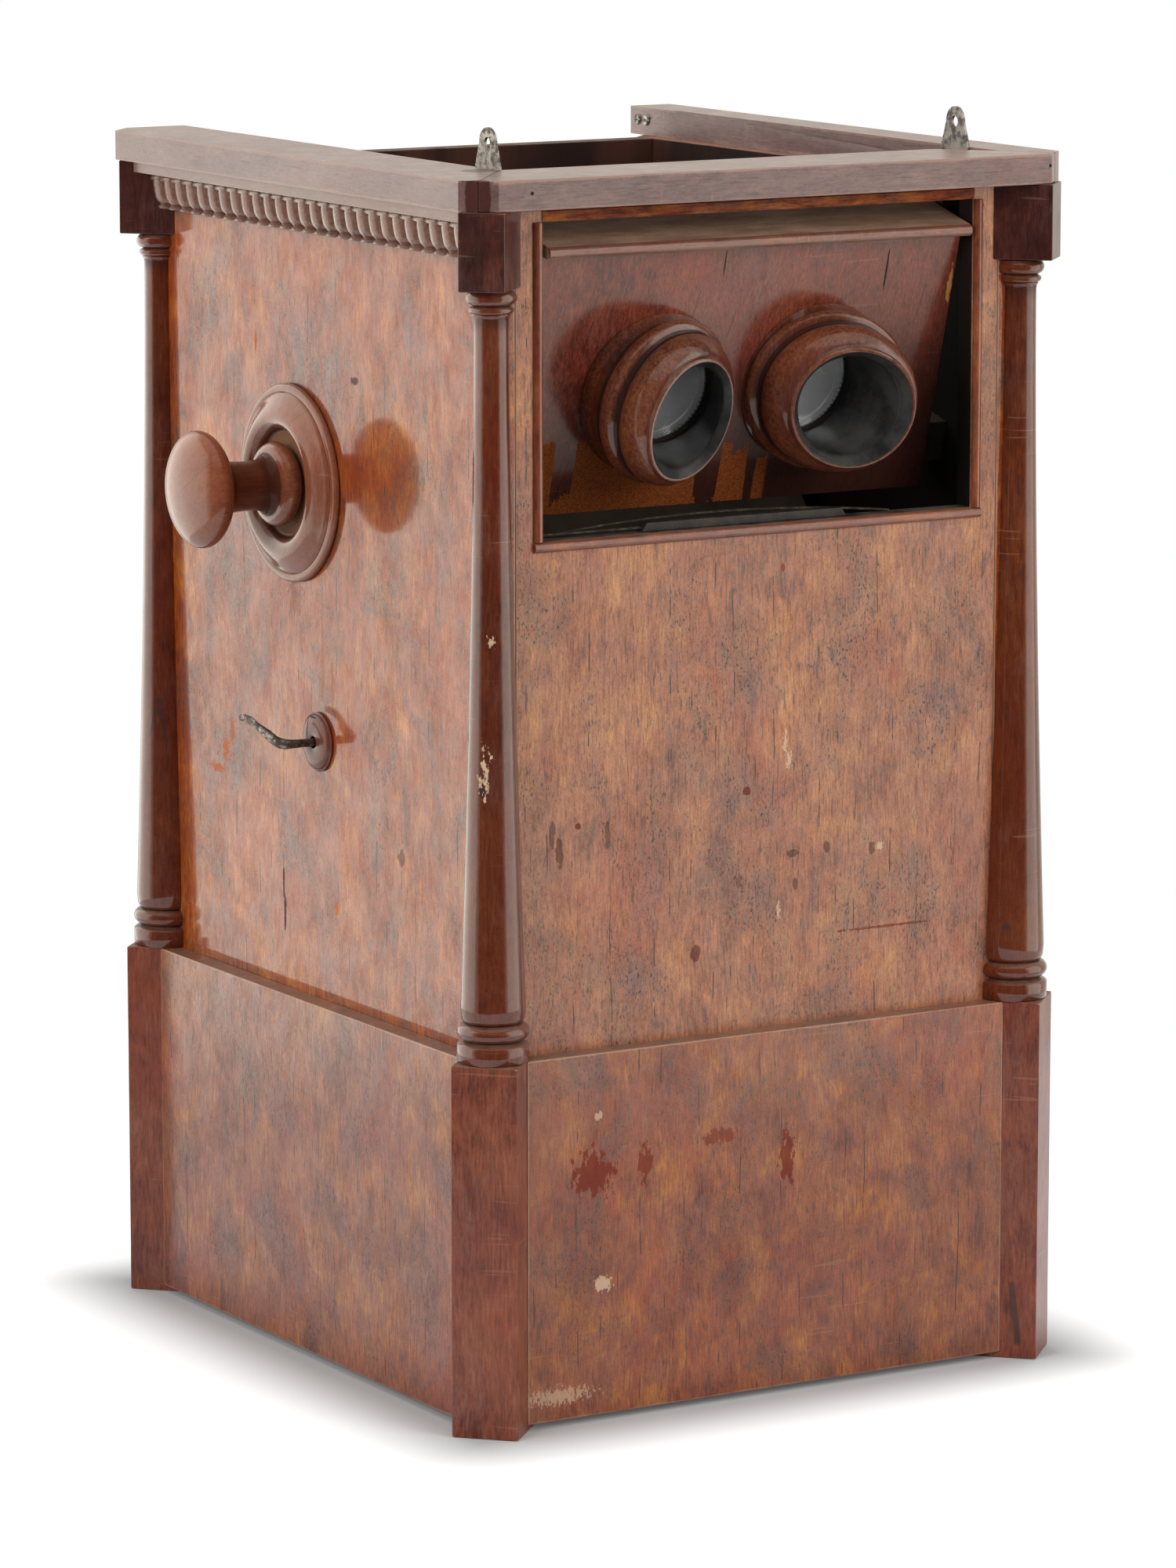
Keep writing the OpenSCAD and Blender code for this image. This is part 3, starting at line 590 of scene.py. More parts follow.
@dataclass(frozen=True)
class Wood:
    """A polished wood, from plain turned stuff to figured veneer.

    Attributes:
        light: Its pale figure.
        middle: Its main colour.
        dark: Its dark figure.
        red: Its red patches.
        shade: Its smoky patches.
        pores: Its pores and cracks.
        mottle: How fine the figure is, per metre.
        ribbon: How much the fibres break up the figure.
        arcs: How close the growth arcs are, per metre.
        swirl: How much the growth arcs show.
        eye: Centre of the arcs, in metres.
        balance: Shifts the figure towards light or dark.
        clusters: Strength of the dark specks.
        smoke: Strength of the smoky patches.
        pore_depth: Strength of the pores and hairlines.
        fibres: How much light and dark the finest fibres add.
        gloss: Roughness under the polish.
        polish: Weight of the polish.
        polish_blur: Roughness of the polish.
        cloudy: How far the polish thins in fine clouds.
        chips: How chipped it is.
        dust: How much dust lies on it.
        rubbed: Colour of its rubbed edges.
        edge: Width of its rubbed edges in metres.
        hollow_shade: Colour of the painted shade in its hollows.
        dulled: How far its polish has dulled in patches.
        marks: Its stains, chips and dents.
        extra: Changes the colour further and says where the polish is gone.
    """

    light: Colour
    middle: Colour
    dark: Colour
    red: Colour
    shade: Colour = rgb(0.10, 0.065, 0.062)
    pores: Colour = rgb(0.030, 0.016, 0.018)
    mottle: float = 30.0
    ribbon: float = 0.30
    arcs: float = 90.0
    swirl: float = 0.0
    eye: tuple[float, float, float] = (0.0, 0.0, 0.3)
    balance: float = 0.0
    clusters: float = 0.8
    smoke: float = 0.4
    pore_depth: float = 0.7
    fibres: float = 0.6
    gloss: float = 0.45
    polish: float = 1.0
    polish_blur: float = 0.15
    cloudy: float = 0.2
    chips: float = 0.3
    dust: float = 0.5
    rubbed: Colour = rgb(0.36, 0.20, 0.13)
    edge: float = 0.0007
    hollow_shade: Colour = rgb(0.020, 0.009, 0.007)
    dulled: float = 0.12
    marks: tuple[Mark, ...] = ()
    extra: Callable[[Shading, Value], tuple[Value, Value]] | None = None

    def build(self, name: str, grain: Grain = Grain.UPRIGHT, low: Vector | None = None,
              high: Vector | None = None, shade_hollows: bool = False) -> bpy.types.Material:
        """Builds the finish for one piece.

        Args:
            name: The material's name.
            grain: Which way the grain runs.
            low: Lowest corner of the piece, for its rubbed edges.
            high: Highest corner of the piece.
            shade_hollows: Whether the piece says where it is hollow, for painted shade in its
                hollows and wear on its crests.

        Returns:
            The material.
        """
        shading = Shading(name)
        g = shading.graph
        parts = g.split(shading.place)
        place = g.join(*(parts[k] for k in grain.value))
        figure = FIGURE.place(g, Place=place, Eye=self.eye, Light=self.light, Middle=self.middle,
                              Dark=self.dark, Red=self.red, Shade=self.shade, Pores=self.pores,
                              Mottle=self.mottle, Ribbon=self.ribbon, Arcs=self.arcs,
                              Swirl=self.swirl, Balance=self.balance, Clusters=self.clusters,
                              Smoke=self.smoke, Pore_Depth=self.pore_depth, Fibres=self.fibres)
        scuffs = SCUFFS.place(g, Place=place, Chips=self.chips, Scratches=0.35)
        colour = g.mix(scuffs["Dull"] * self.dulled, figure["Colour"], DULL_PATCH)
        colour = g.mix(scuffs["Chips"], colour, CHIP)
        colour = g.mix(scuffs["Scratches"] * 0.5, colour, SCRATCH)
        rough = scuffs["Dull"] * 0.12 + self.gloss
        bare = 0.0
        if shade_hollows:
            # Painted shade: the hollows go dark and lose their polish, and the crests pick up
            # rubbed wear
            hollow = g.fed("ShaderNodeAttribute", "Fac", attribute_name="hollow")
            shaded_hollow = g.step(hollow, 0.15, 0.9) * 0.8
            colour = g.mix(shaded_hollow, colour, self.hollow_shade)
            bare = shaded_hollow * 0.9
            crest = g.step(hollow * -1.0, 0.4, 1.0) * 0.3
            crest = crest * g.step(g.noise(place, 700, 3, 0.6), 0.3, 0.7)
            colour = g.mix(crest, colour, self.rubbed)
        if low is not None and high is not None:
            edges = EDGES.place(g, Place=shading.place, Low=low, High=high, Width=self.edge,
                                Amount=0.75)
            colour = g.mix(edges["Mask"], colour, self.rubbed)
            rough = rough + edges["Mask"] * 0.2
        if self.extra:
            colour, bared = self.extra(shading, colour)
            bare = g.most(bare, bared)
        for mark in self.marks:
            spot = SPOT.place(g, Place=shading.place, Centre=Vector(mark.centre) * MM,
                              Size=Vector(mark.size) * MM, Ragged=mark.ragged, Grit=mark.grit)
            covered = spot["Mask"] * mark.strength
            colour = g.mix(covered, colour, mark.colour)
            bare = g.most(bare, covered * 0.8)
        dust = DUST.place(g, Place=shading.place, Up=shading.up(), Amount=self.dust)
        colour = g.mix(dust["Mask"], colour, DUST_FILM)
        matt = g.most(dust["Mask"], bare)
        rough = (rough + matt * 0.35).clamped()
        sheen = figure["Sheen"] * self.cloudy + (1 - self.cloudy)
        polish = (1.0 - matt) * (sheen * self.polish)
        height = figure["Height"] - scuffs["Chips"] * 1.5
        shading.set(Base_Color=colour, Roughness=rough, Specular_IOR_Level=0.12, Coat_Weight=polish,
                    Coat_Roughness=self.polish_blur)
        shading.bump(height, 0.00010, 0.5)
        return shading.material


@dataclass(frozen=True)
class Metal:
    """An old metal with tarnish in patches.

    Attributes:
        bright: Its rubbed colour.
        tarnish: Its dull colour.
        share: How much is tarnished, from 0 to 1.
        gloss: Roughness where it is rubbed.
    """

    bright: Colour
    tarnish: Colour
    share: float = 0.5
    gloss: float = 0.35

    def build(self, name: str) -> bpy.types.Material:
        """Builds the finish.

        Args:
            name: The material's name.

        Returns:
            The material.
        """
        shading = Shading(name)
        g = shading.graph
        patches = g.noise(shading.place, 320, 5, 0.7)
        fine = g.noise(shading.place, 2600, 3, 0.6)
        mask = g.step(patches + fine * 0.2, 0.75 - self.share * 0.5, 0.95 - self.share * 0.5)
        shading.set(Base_Color=g.mix(mask, self.bright, self.tarnish), Metallic=1.0 - mask * 0.55,
                    Roughness=mask * 0.3 + self.gloss)
        shading.bump(patches + fine * 0.3, 0.00008, 0.5)
        return shading.material


@dataclass(frozen=True)
class Matt:
    """A matt stuff with mottled colour, such as card, linen tape or blackened wood.

    Attributes:
        main: Its main colour.
        other: The colour of its patches.
        scale: How fine the patches are, per metre.
        rough: Its roughness.
        weave: Threads per metre of a woven stuff, or 0.
        grain: Stretch of the pattern along each axis.
        relief: Height of its bumps in metres.
    """

    main: Colour
    other: Colour
    scale: float = 60.0
    rough: float = 0.8
    weave: float = 0.0
    grain: tuple[float, float, float] = (1, 1, 1)
    relief: float = 0.00008

    def build(self, name: str) -> bpy.types.Material:
        """Builds the finish.

        Args:
            name: The material's name.

        Returns:
            The material.
        """
        shading = Shading(name)
        g = shading.graph
        place = g.stretched(shading.place, self.grain)
        patches = g.noise(place, self.scale, 5, 0.65)
        fine = g.noise(place, self.scale * 14, 3, 0.6)
        height = patches * 0.5 + fine
        colour = g.mix(g.step(patches + fine * 0.15, 0.42, 0.75), self.main, self.other)
        if self.weave:
            x, y, z = g.split(shading.place)
            threads = g.math("SINE", x * self.weave) * g.math("SINE", (z + y) * self.weave)
            height = height + threads
            colour = g.mix(g.step(threads, -1.0, 1.0) * 0.3, colour, self.other)
        shading.set(Base_Color=colour, Roughness=self.rough, Specular_IOR_Level=0.25)
        shading.bump(height, self.relief, 0.8)
        return shading.material


@dataclass(frozen=True)
class Glass:
    """Clear glass with a little dust.

    Attributes:
        tint: Its tint.
    """

    tint: Colour = rgb(0.80, 0.81, 0.81)

    def build(self, name: str) -> bpy.types.Material:
        """Builds the finish.

        Args:
            name: The material's name.

        Returns:
            The material.
        """
        shading = Shading(name)
        g = shading.graph
        smears = g.step(g.noise(shading.place, 140, 5, 0.7), 0.45, 0.8)
        shading.set(Base_Color=self.tint, Roughness=smears * 0.1 + 0.04, IOR=1.52,
                    Transmission_Weight=0.72, Metallic=0.0)
        return shading.material


# ---------------------------------------------------------------------------------------------
# Finishes
# ---------------------------------------------------------------------------------------------

CREAM = rgb(0.62, 0.42, 0.28)
DENT = rgb(0.035, 0.014, 0.012)
RED_STAIN = rgb(0.16, 0.018, 0.008)
BLACK = rgb(0.012, 0.005, 0.004)
CHIP = rgb(0.15, 0.035, 0.016)
SCRATCH = rgb(0.45, 0.25, 0.15)
DULL_PATCH = rgb(0.27, 0.17, 0.13)
DUST_FILM = rgb(0.21, 0.165, 0.125)

# Where finishes change on a piece, in metres: each pair is the start and the end of a soft edge
INNER_X, INNER_Y = (0.1068, 0.1072), (0.1305, 0.1311)
BORE_EDGE = (0.0202, 0.0206)
NECK_ROOT, NECK_TIP = (0.1275, 0.1300), (0.1465, 0.1495)
HOLLOW_EDGE = (0.0195, 0.0215)


def dark_inside(shading: Shading, colour: Value) -> tuple[Value, Value]:
    """Blackens whatever faces the inside of the case, and takes the polish off it.

    Args:
        shading: The material under construction.
        colour: Its colour so far.

    Returns:
        The new colour, and a mask of where the polish is gone.
    """
    g = shading.graph
    x, y, z = g.split(shading.place)
    inside = (1.0 - g.step(abs(x), *INNER_X)) * (1.0 - g.step(abs(y), *INNER_Y))
    stain = g.mix(g.step(g.noise(g.stretched(shading.place, (1, 1, 0.2)), 40, 4), 0.35, 0.7),
                  rgb(0.020, 0.010, 0.008), rgb(0.060, 0.024, 0.016))
    # Darker towards the bottom: below 0.40 m the inside goes near-black
    stain = g.mix(g.step(z, 0.40, 0.458), rgb(0.010, 0.008, 0.007), stain)
    return g.mix(inside, colour, stain), inside * 0.95


def on_board(x: float, height: float) -> tuple[float, float, float]:
    """Gives the place in mm of a point on the leaning board's face, from its upright height.

    Args:
        x: Its X in mm.
        height: Its height in mm while the board stands upright.

    Returns:
        The place in mm.
    """
    y, z = BOARD_FACE - PIVOT_Y, height - PIVOT_Z
    return (x, PIVOT_Y + y * math.cos(BOARD_LEAN) - z * math.sin(BOARD_LEAN),
            PIVOT_Z + y * math.sin(BOARD_LEAN) + z * math.cos(BOARD_LEAN))


def torn_veneer_and_low_shade(shading: Shading, colour: Value) -> tuple[Value, Value]:
    """Bares lost veneer's ground at the lens board's lower left; paints shade low on it.

    Args:
        shading: The material under construction.
        colour: Its colour so far.

    Returns:
        The new colour, and a mask of where the polish is gone.
    """
    g = shading.graph
    x, y, z = g.split(shading.place)
    ragged = g.noise(g.join(x, 0.0, z * 0.35), 210, 4, 0.7)
    drips = g.step(g.noise(g.join(x + 0.37, 0.0, 0.0), 62, 1), 0.57, 0.6)
    line = 0.361 - x * 0.11 + (ragged - 0.5) * 0.03 - drips * 0.022
    gone = g.step(line - z, 0.0, 0.0005) * (1.0 - g.step(x, 0.019, 0.021))
    grain = g.noise(g.stretched(shading.place, (0.55, 1, 1)), 2600, 4, 0.7)
    ground = g.mix(g.step(grain, 0.36, 0.62), rgb(0.09, 0.022, 0.007), rgb(0.28, 0.073, 0.016))
    # Painted shade: towards the bottom, and sooner on the right, the board goes near-black and
    # loses its polish
    low = 1.0 - g.step(z + x * -0.25, 0.345, 0.425)
    colour = g.mix(low * 0.92, colour, rgb(0.022, 0.007, 0.005))
    colour = g.mix(gone, colour, ground)
    up, back = z - PIVOT_Z * MM, (y - PIVOT_Y * MM) * -math.sin(BOARD_LEAN)
    height = up * math.cos(BOARD_LEAN) + back + (PIVOT_Z - LENS_HEIGHT) * MM
    side = abs(x) - LENS_SPACING / 2 * MM
    bored = 1.0 - g.step(g.length(g.join(side, height, 0.0)), *BORE_EDGE)
    bare = g.most(g.most(gone, bored), low * 0.85)
    return g.mix(bored, colour, rgb(0.02, 0.02, 0.02)), bare


def dusty_top(shading: Shading, colour: Value) -> tuple[Value, Value]:
    """Greys the canopy's flat top and leaves its nosing polished.

    Args:
        shading: The material under construction.
        colour: Its colour so far.

    Returns:
        The new colour, and a mask of where the polish is gone.
    """
    g = shading.graph
    y, z = g.split(shading.place)[1:]
    flat = g.step(y + z * -0.268, -0.2518, -0.2508)
    film = g.noise(g.stretched(shading.place, (0.3, 1, 1)), 120, 5, 0.7)
    grey = g.mix(g.step(film, 0.35, 0.7), rgb(0.25, 0.140, 0.090), rgb(0.42, 0.27, 0.18))
    return g.mix(flat, colour, grey), flat


def painted_neck_shade(shading: Shading, colour: Value) -> tuple[Value, Value | float]:
    """Paints shade on the neck of a knob, the recess between its rosette and its ball.

    Args:
        shading: The material under construction.
        colour: Its colour so far.

    Returns:
        The new colour, and a mask of where the polish is gone.
    """
    g = shading.graph
    x = abs(g.split(shading.place)[0])
    neck = g.step(x, *NECK_ROOT) * (1.0 - g.step(x, *NECK_TIP))
    return g.mix(neck * 0.6, colour, rgb(0.060, 0.014, 0.006)), 0.0


def dry_floor(shading: Shading, colour: Value) -> tuple[Value, Value]:
    """Leaves the floor of a rosette's hollow pale and unpolished.

    Args:
        shading: The material under construction.
        colour: Its colour so far.

    Returns:
        The new colour, and a mask of where the polish is gone.
    """
    g = shading.graph
    y, z = g.split(shading.place)[1:]
    away = g.length(g.join(0.0, y - AXLE_Y * MM, z - AXLE_Z * MM))
    floor = 1.0 - g.step(away, *HOLLOW_EDGE)
    return g.mix(floor, colour, rgb(0.23, 0.105, 0.058)), floor * 0.95


FRONT_VENEER = Wood(
    light=rgb(0.48, 0.215, 0.085), middle=rgb(0.33, 0.124, 0.062), dark=rgb(0.15, 0.056, 0.038),
    red=rgb(0.35, 0.088, 0.044), shade=rgb(0.105, 0.060, 0.055), mottle=58, ribbon=0.40, arcs=130,
    swirl=0.22, eye=(0.033, -0.13, 0.285), clusters=0.85, smoke=0.65, pore_depth=0.95, fibres=0.9,
    chips=1.0, polish_blur=0.28, cloudy=0.65, extra=dark_inside,
    marks=marks_on(
        1, -131,
        (11.5, 251, 1.0, 4.0, CREAM, 0.9, 4.6, 1100),
        (13.2, 244.5, 1.1, 3.6, CREAM, 0.9, 4.6, 1100),
        (-91, 225.5, 1.6, 6, DENT, 0.6, 1.8, 420),
        (-88, 217.5, 1.9, 5.5, DENT, 0.65, 1.8, 420),
        (-67, 222, 1.2, 7, DENT, 0.5, 2.0, 420),
        (15, 208, 3.0, 1.7, DENT, 0.6, 1.8, 600),
        (30.5, 209, 1.5, 2.4, DENT, 0.6, 1.8, 600),
        (51, 206.5, 1.7, 2.8, DENT, 0.6, 1.8, 600),
        (-9, 199.5, 1.3, 3.2, DENT, 0.45, 1.8, 600),
        (16.4, 196, 1.2, 2.6, DENT, 0.6, 1.8, 600),
        (54.5, 207, 1.8, 1.6, CREAM, 0.9, 4.2, 1300),
        (8.7, 186.6, 0.8, 3.4, CREAM, 0.8, 4.4, 1300),
        (-28.5, 173.5, 2.6, 3.4, rgb(0.09, 0.02, 0.014), 0.7, 1.6),
        (-5.4, 233.7, 1.8, 1.6, rgb(0.13, 0.028, 0.014), 0.9, 1.8),
        (-80, 227, 1.6, 1.5, rgb(0.13, 0.028, 0.014), 0.9, 1.8),
        (57, 175.6, 25, 0.6, rgb(0.15, 0.035, 0.015), 0.8, 2.6, 500),
        (10, 318, 1.2, 2.0, rgb(0.22, 0.05, 0.02), 0.9, 1.4)))
SIDE_VENEER = Wood(
    light=rgb(0.48, 0.155, 0.016), middle=rgb(0.28, 0.052, 0.008), dark=rgb(0.11, 0.019, 0.006),
    red=rgb(0.29, 0.040, 0.008), shade=rgb(0.075, 0.034, 0.028), mottle=48, ribbon=0.45, arcs=95,
    swirl=0.26, eye=(-0.116, -0.045, 0.375), clusters=0.8, smoke=0.9, fibres=1.0, chips=0.8,
    pore_depth=0.9, dulled=0.05, polish_blur=0.09, cloudy=0.7, extra=dark_inside,
    marks=marks_on(
        0, -117,
        (74, 237, 1.6, 5.5, rgb(0.50, 0.12, 0.03), 0.8, 3.8, 1100),
        (79.5, 229, 3.4, 4.5, rgb(0.50, 0.12, 0.03), 0.8, 4.4, 1100),
        (87, 220.5, 6.5, 1.7, rgb(0.50, 0.12, 0.03), 0.8, 4.4, 1100),
        (32, 183, 1.0, 6, DENT, 0.9, 1.6, 500),
        (31, 171, 1.2, 7, DENT, 0.9, 2.0, 500),
        (-62.3, 207.7, 2.9, 3.6, rgb(0.035, 0.025, 0.025), 0.55, 1.8, 420),
        (-11.3, 179.5, 1.2, 3.4, rgb(0.55, 0.17, 0.02), 0.95, 1.6, 500),
        (-27.6, 385.7, 3.2, 1.7, DENT, 0.8, 2.4, 700),
        (51.7, 393.6, 1.0, 5.0, rgb(0.45, 0.11, 0.03), 0.8, 2.2, 500),
        (-1, 276, 1.5, 14, rgb(0.42, 0.15, 0.05), 0.45, 2.6, 400),
        (-8.5, 266, 1.2, 9, rgb(0.42, 0.15, 0.05), 0.45, 2.6, 400),
        (20, 297, 6, 7, rgb(0.10, 0.022, 0.010), 0.35, 4.6, 800)))
PLINTH_VENEER = Wood(
    light=rgb(0.42, 0.150, 0.030), middle=rgb(0.25, 0.070, 0.028), dark=rgb(0.105, 0.030, 0.020),
    red=rgb(0.26, 0.036, 0.016), shade=rgb(0.075, 0.032, 0.028), mottle=50, ribbon=0.5, arcs=80,
    swirl=0.2, eye=(0.02, -0.14, 0.02), clusters=0.8, smoke=0.75, fibres=0.9, pore_depth=0.85,
    chips=0.6, polish_blur=0.22, cloudy=0.65,
    marks=marks_on(
        1, -140,
        (-78, 96, 9, 8, RED_STAIN, 0.8, 3.6, 420),
        (-55, 97, 3, 7, RED_STAIN, 0.75, 3.4, 420),
        (8, 92, 3.5, 10, RED_STAIN, 0.8, 3.4, 420),
        (-22, 104, 8, 3, RED_STAIN, 0.6, 3.8, 420),
        (-74, 53, 4, 3.0, CREAM, 0.85, 3.4, 700),
        (-94, 12, 13, 3, CREAM, 0.55, 5.6, 900),
        (-76, 118, 2.0, 1.6, CREAM, 0.7, 3.0, 700)))
TURNED_WOOD = Wood(
    light=rgb(0.29, 0.090, 0.036), middle=rgb(0.21, 0.056, 0.021), dark=rgb(0.12, 0.028, 0.011),
    red=rgb(0.18, 0.034, 0.015), mottle=14, ribbon=0.5, clusters=0.2, smoke=0.3, pore_depth=0.4,
    polish=0.8, polish_blur=0.12, dust=0.0, chips=0.1, dulled=0.04, rubbed=rgb(0.24, 0.085, 0.045),
    hollow_shade=rgb(0.040, 0.010, 0.005))
# The knob's neck carries painted shade
KNOB_WOOD = replace(TURNED_WOOD, extra=painted_neck_shade)
ROSETTE_WOOD = replace(TURNED_WOOD, extra=dry_floor)
ESCUTCHEON_WOOD = replace(
    TURNED_WOOD, light=rgb(0.15, 0.045, 0.025), middle=rgb(0.10, 0.026, 0.015),
    dark=rgb(0.05, 0.013, 0.008), polish=0.45,
    marks=(
        Mark((-119.5, 6.4, 247), (3, 0.5, 6.5), BLACK, 0.95, 1.2, 400),
        Mark((-119.5, 3.6, 252.6), (3, 3.4, 0.5), BLACK, 0.9, 1.2, 400)))
POST_WOOD = Wood(
    light=rgb(0.27, 0.082, 0.040), middle=rgb(0.19, 0.048, 0.024), dark=rgb(0.09, 0.019, 0.011),
    red=rgb(0.21, 0.030, 0.012), mottle=40, ribbon=0.6, clusters=0.35, smoke=0.3, polish=0.5,
    dulled=0.05, polish_blur=0.2)
CAPITAL_WOOD = Wood(
    light=rgb(0.11, 0.027, 0.016), middle=rgb(0.046, 0.010, 0.007), dark=rgb(0.016, 0.005, 0.004),
    red=rgb(0.06, 0.010, 0.006), mottle=60, ribbon=0.3, clusters=0.3, smoke=0.3, polish=0.7,
    polish_blur=0.2, dust=0.3, dulled=0.015, edge=0.0005, rubbed=rgb(0.30, 0.14, 0.10))
COLUMN_WOOD = Wood(
    light=rgb(0.15, 0.033, 0.007), middle=rgb(0.092, 0.015, 0.003), dark=rgb(0.045, 0.006, 0.002),
    red=rgb(0.11, 0.011, 0.002), mottle=20, ribbon=0.5, clusters=0.2, smoke=0.2, polish_blur=0.08,
    dust=0.35, dulled=0.02, rubbed=rgb(0.16, 0.04, 0.015), hollow_shade=rgb(0.012, 0.007, 0.006),
    marks=(
        Mark((-125, -142, 253), (3, 6, 13), CREAM, 0.9, 3.0, 500),
        Mark((-122, -143, 300), (3, 6, 3), CREAM, 0.8, 3.0, 500)))
CAP_WOOD = Wood(
    light=rgb(0.22, 0.130, 0.115), middle=rgb(0.155, 0.086, 0.078), dark=rgb(0.085, 0.045, 0.042),
    red=rgb(0.17, 0.062, 0.050), shade=rgb(0.06, 0.045, 0.050), mottle=30, ribbon=0.5, clusters=0.5,
    smoke=0.4, gloss=0.55, polish_blur=0.3, dust=0.25, chips=0.5, edge=0.0011,
    rubbed=rgb(0.30, 0.17, 0.13),
    marks=(
        # A dark grey patch at the foot of the left lug
        Mark((-104, -101, 470), (8, 8, 3), rgb(0.05, 0.038, 0.034), 0.7, 1.6),
        Mark((-127, -140, 464), (5.4, 5.4, 12), rgb(0.05, 0.013, 0.009), 0.9, 0.5),
        Mark((-107, -145, 465), (0.8, 3, 0.8), rgb(0.004, 0.003, 0.003), 1.0, 0.3),
        Mark((121, -145, 465.5), (0.8, 3, 0.8), rgb(0.004, 0.003, 0.003), 1.0, 0.3),
        Mark((121, -145, 461.6), (1.2, 3, 1.2), rgb(0.30, 0.14, 0.09), 0.8, 0.3)))
MOULDING_WOOD = Wood(
    light=rgb(0.20, 0.090, 0.066), middle=rgb(0.14, 0.057, 0.040), dark=rgb(0.08, 0.030, 0.020),
    red=rgb(0.19, 0.055, 0.032), mottle=40, ribbon=0.3, clusters=0.15, smoke=0.2, pore_depth=0.4,
    polish_blur=0.25, dust=0.25, chips=0.2)
BEAD_WOOD = Wood(
    light=rgb(0.32, 0.095, 0.034), middle=rgb(0.19, 0.045, 0.018), dark=rgb(0.07, 0.016, 0.009),
    red=rgb(0.22, 0.034, 0.011), dulled=0.05, mottle=50, ribbon=0.4, clusters=0.3, smoke=0.4,
    polish_blur=0.15, dust=0.15, hollow_shade=rgb(0.03, 0.010, 0.006))
SPLIT_WOOD = Wood(
    light=rgb(0.42, 0.125, 0.025), middle=rgb(0.26, 0.055, 0.012), dark=rgb(0.07, 0.014, 0.006),
    red=rgb(0.26, 0.038, 0.010), mottle=70, ribbon=1.0, clusters=0.6, smoke=0.5, gloss=0.7,
    polish=0.1, polish_blur=0.3, dust=0.1)
INNER_WOOD = Wood(
    light=rgb(0.050, 0.028, 0.018), middle=rgb(0.028, 0.016, 0.011), dark=rgb(0.012, 0.007, 0.006),
    red=rgb(0.030, 0.010, 0.006), mottle=30, ribbon=0.6, clusters=0.4, smoke=0.3, gloss=0.7,
    polish=0.0, dust=0.2)
HOOD_WOOD = Wood(
    light=rgb(0.15, 0.044, 0.018), middle=rgb(0.082, 0.020, 0.009), dark=rgb(0.034, 0.008, 0.005),
    red=rgb(0.12, 0.020, 0.007), mottle=26, ribbon=0.5, clusters=0.35, smoke=0.4, polish_blur=0.10,
    dust=0.0, chips=0.2, dulled=0.04, rubbed=rgb(0.36, 0.12, 0.05))
BOARD_WOOD = Wood(
    light=rgb(0.25, 0.060, 0.030), middle=rgb(0.17, 0.036, 0.019), dark=rgb(0.070, 0.015, 0.010),
    red=rgb(0.21, 0.028, 0.012), mottle=24, ribbon=0.7, fibres=1.0, pore_depth=1.0, dulled=0.02,
    clusters=0.3, smoke=0.4, polish=0.6, polish_blur=0.16, dust=0.15, extra=torn_veneer_and_low_shade,
    marks=(
        Mark(on_board(61, 434), (0.45, 4, 11), rgb(0.008, 0.005, 0.004), 1.0, 0.8, 200),
        Mark(on_board(-12, 440), (0.35, 4, 6), rgb(0.012, 0.006, 0.005), 0.9, 0.8, 200),
        Mark(on_board(80, 372), (2.2, 4, 2.4), rgb(0.55, 0.36, 0.20), 0.9, 3.4, 900),
        Mark(on_board(91, 425), (1.0, 4, 9), rgb(0.42, 0.20, 0.06), 0.9, 2.6, 500)))
CANOPY_WOOD = Wood(
    light=rgb(0.30, 0.12, 0.065), middle=rgb(0.20, 0.070, 0.038), dark=rgb(0.10, 0.030, 0.018),
    red=rgb(0.22, 0.050, 0.024), mottle=40, ribbon=0.5, clusters=0.3, smoke=0.4, polish_blur=0.2,
    dust=0.1, extra=dusty_top,
    marks=(
        Mark((-66, -120, 452), (1.6, 1.6, 2), rgb(0.05, 0.035, 0.03), 0.9, 0.4),
        Mark((-28, -117, 452), (1.6, 1.6, 2), rgb(0.06, 0.04, 0.03), 0.8, 0.4)))
BORE_PAINT = Matt(rgb(0.010, 0.010, 0.011), rgb(0.040, 0.037, 0.034), 60, 0.36)
BLACKENED = Matt(rgb(0.012, 0.010, 0.009), rgb(0.040, 0.030, 0.025), 90, 0.45)
STEEL = Metal(rgb(0.27, 0.25, 0.23), rgb(0.10, 0.085, 0.072), 0.45, 0.42)
DARK_STEEL = Metal(rgb(0.24, 0.20, 0.17), rgb(0.045, 0.032, 0.024), 0.55, 0.34)
SPRING_STEEL = Metal(rgb(0.085, 0.070, 0.048), rgb(0.030, 0.024, 0.018), 0.6, 0.5)
BRASS = Metal(rgb(0.42, 0.30, 0.13), rgb(0.12, 0.085, 0.045), 0.6, 0.38)
TIN = Metal(rgb(0.050, 0.046, 0.038), rgb(0.020, 0.018, 0.015), 0.5, 0.5)
TAPE = Matt(rgb(0.060, 0.044, 0.026), rgb(0.035, 0.023, 0.014), 60, 0.9, 5200)
# Near-black cards: painted shade for the unlit inside of the case
CARD = Matt(rgb(0.028, 0.020, 0.013), rgb(0.014, 0.010, 0.007), 45, 0.9)
LENS_GLASS = Glass()


# ---------------------------------------------------------------------------------------------
# Modelling
# ---------------------------------------------------------------------------------------------


@dataclass(frozen=True)
class Ring:
    """One ring of a swept form.

    Attributes:
        centre: Its centre in mm.
        radius: Its radius in mm.
        turn: Its turn in degrees.
    """

    centre: tuple[float, float, float]
    radius: float
    turn: float = 0.0


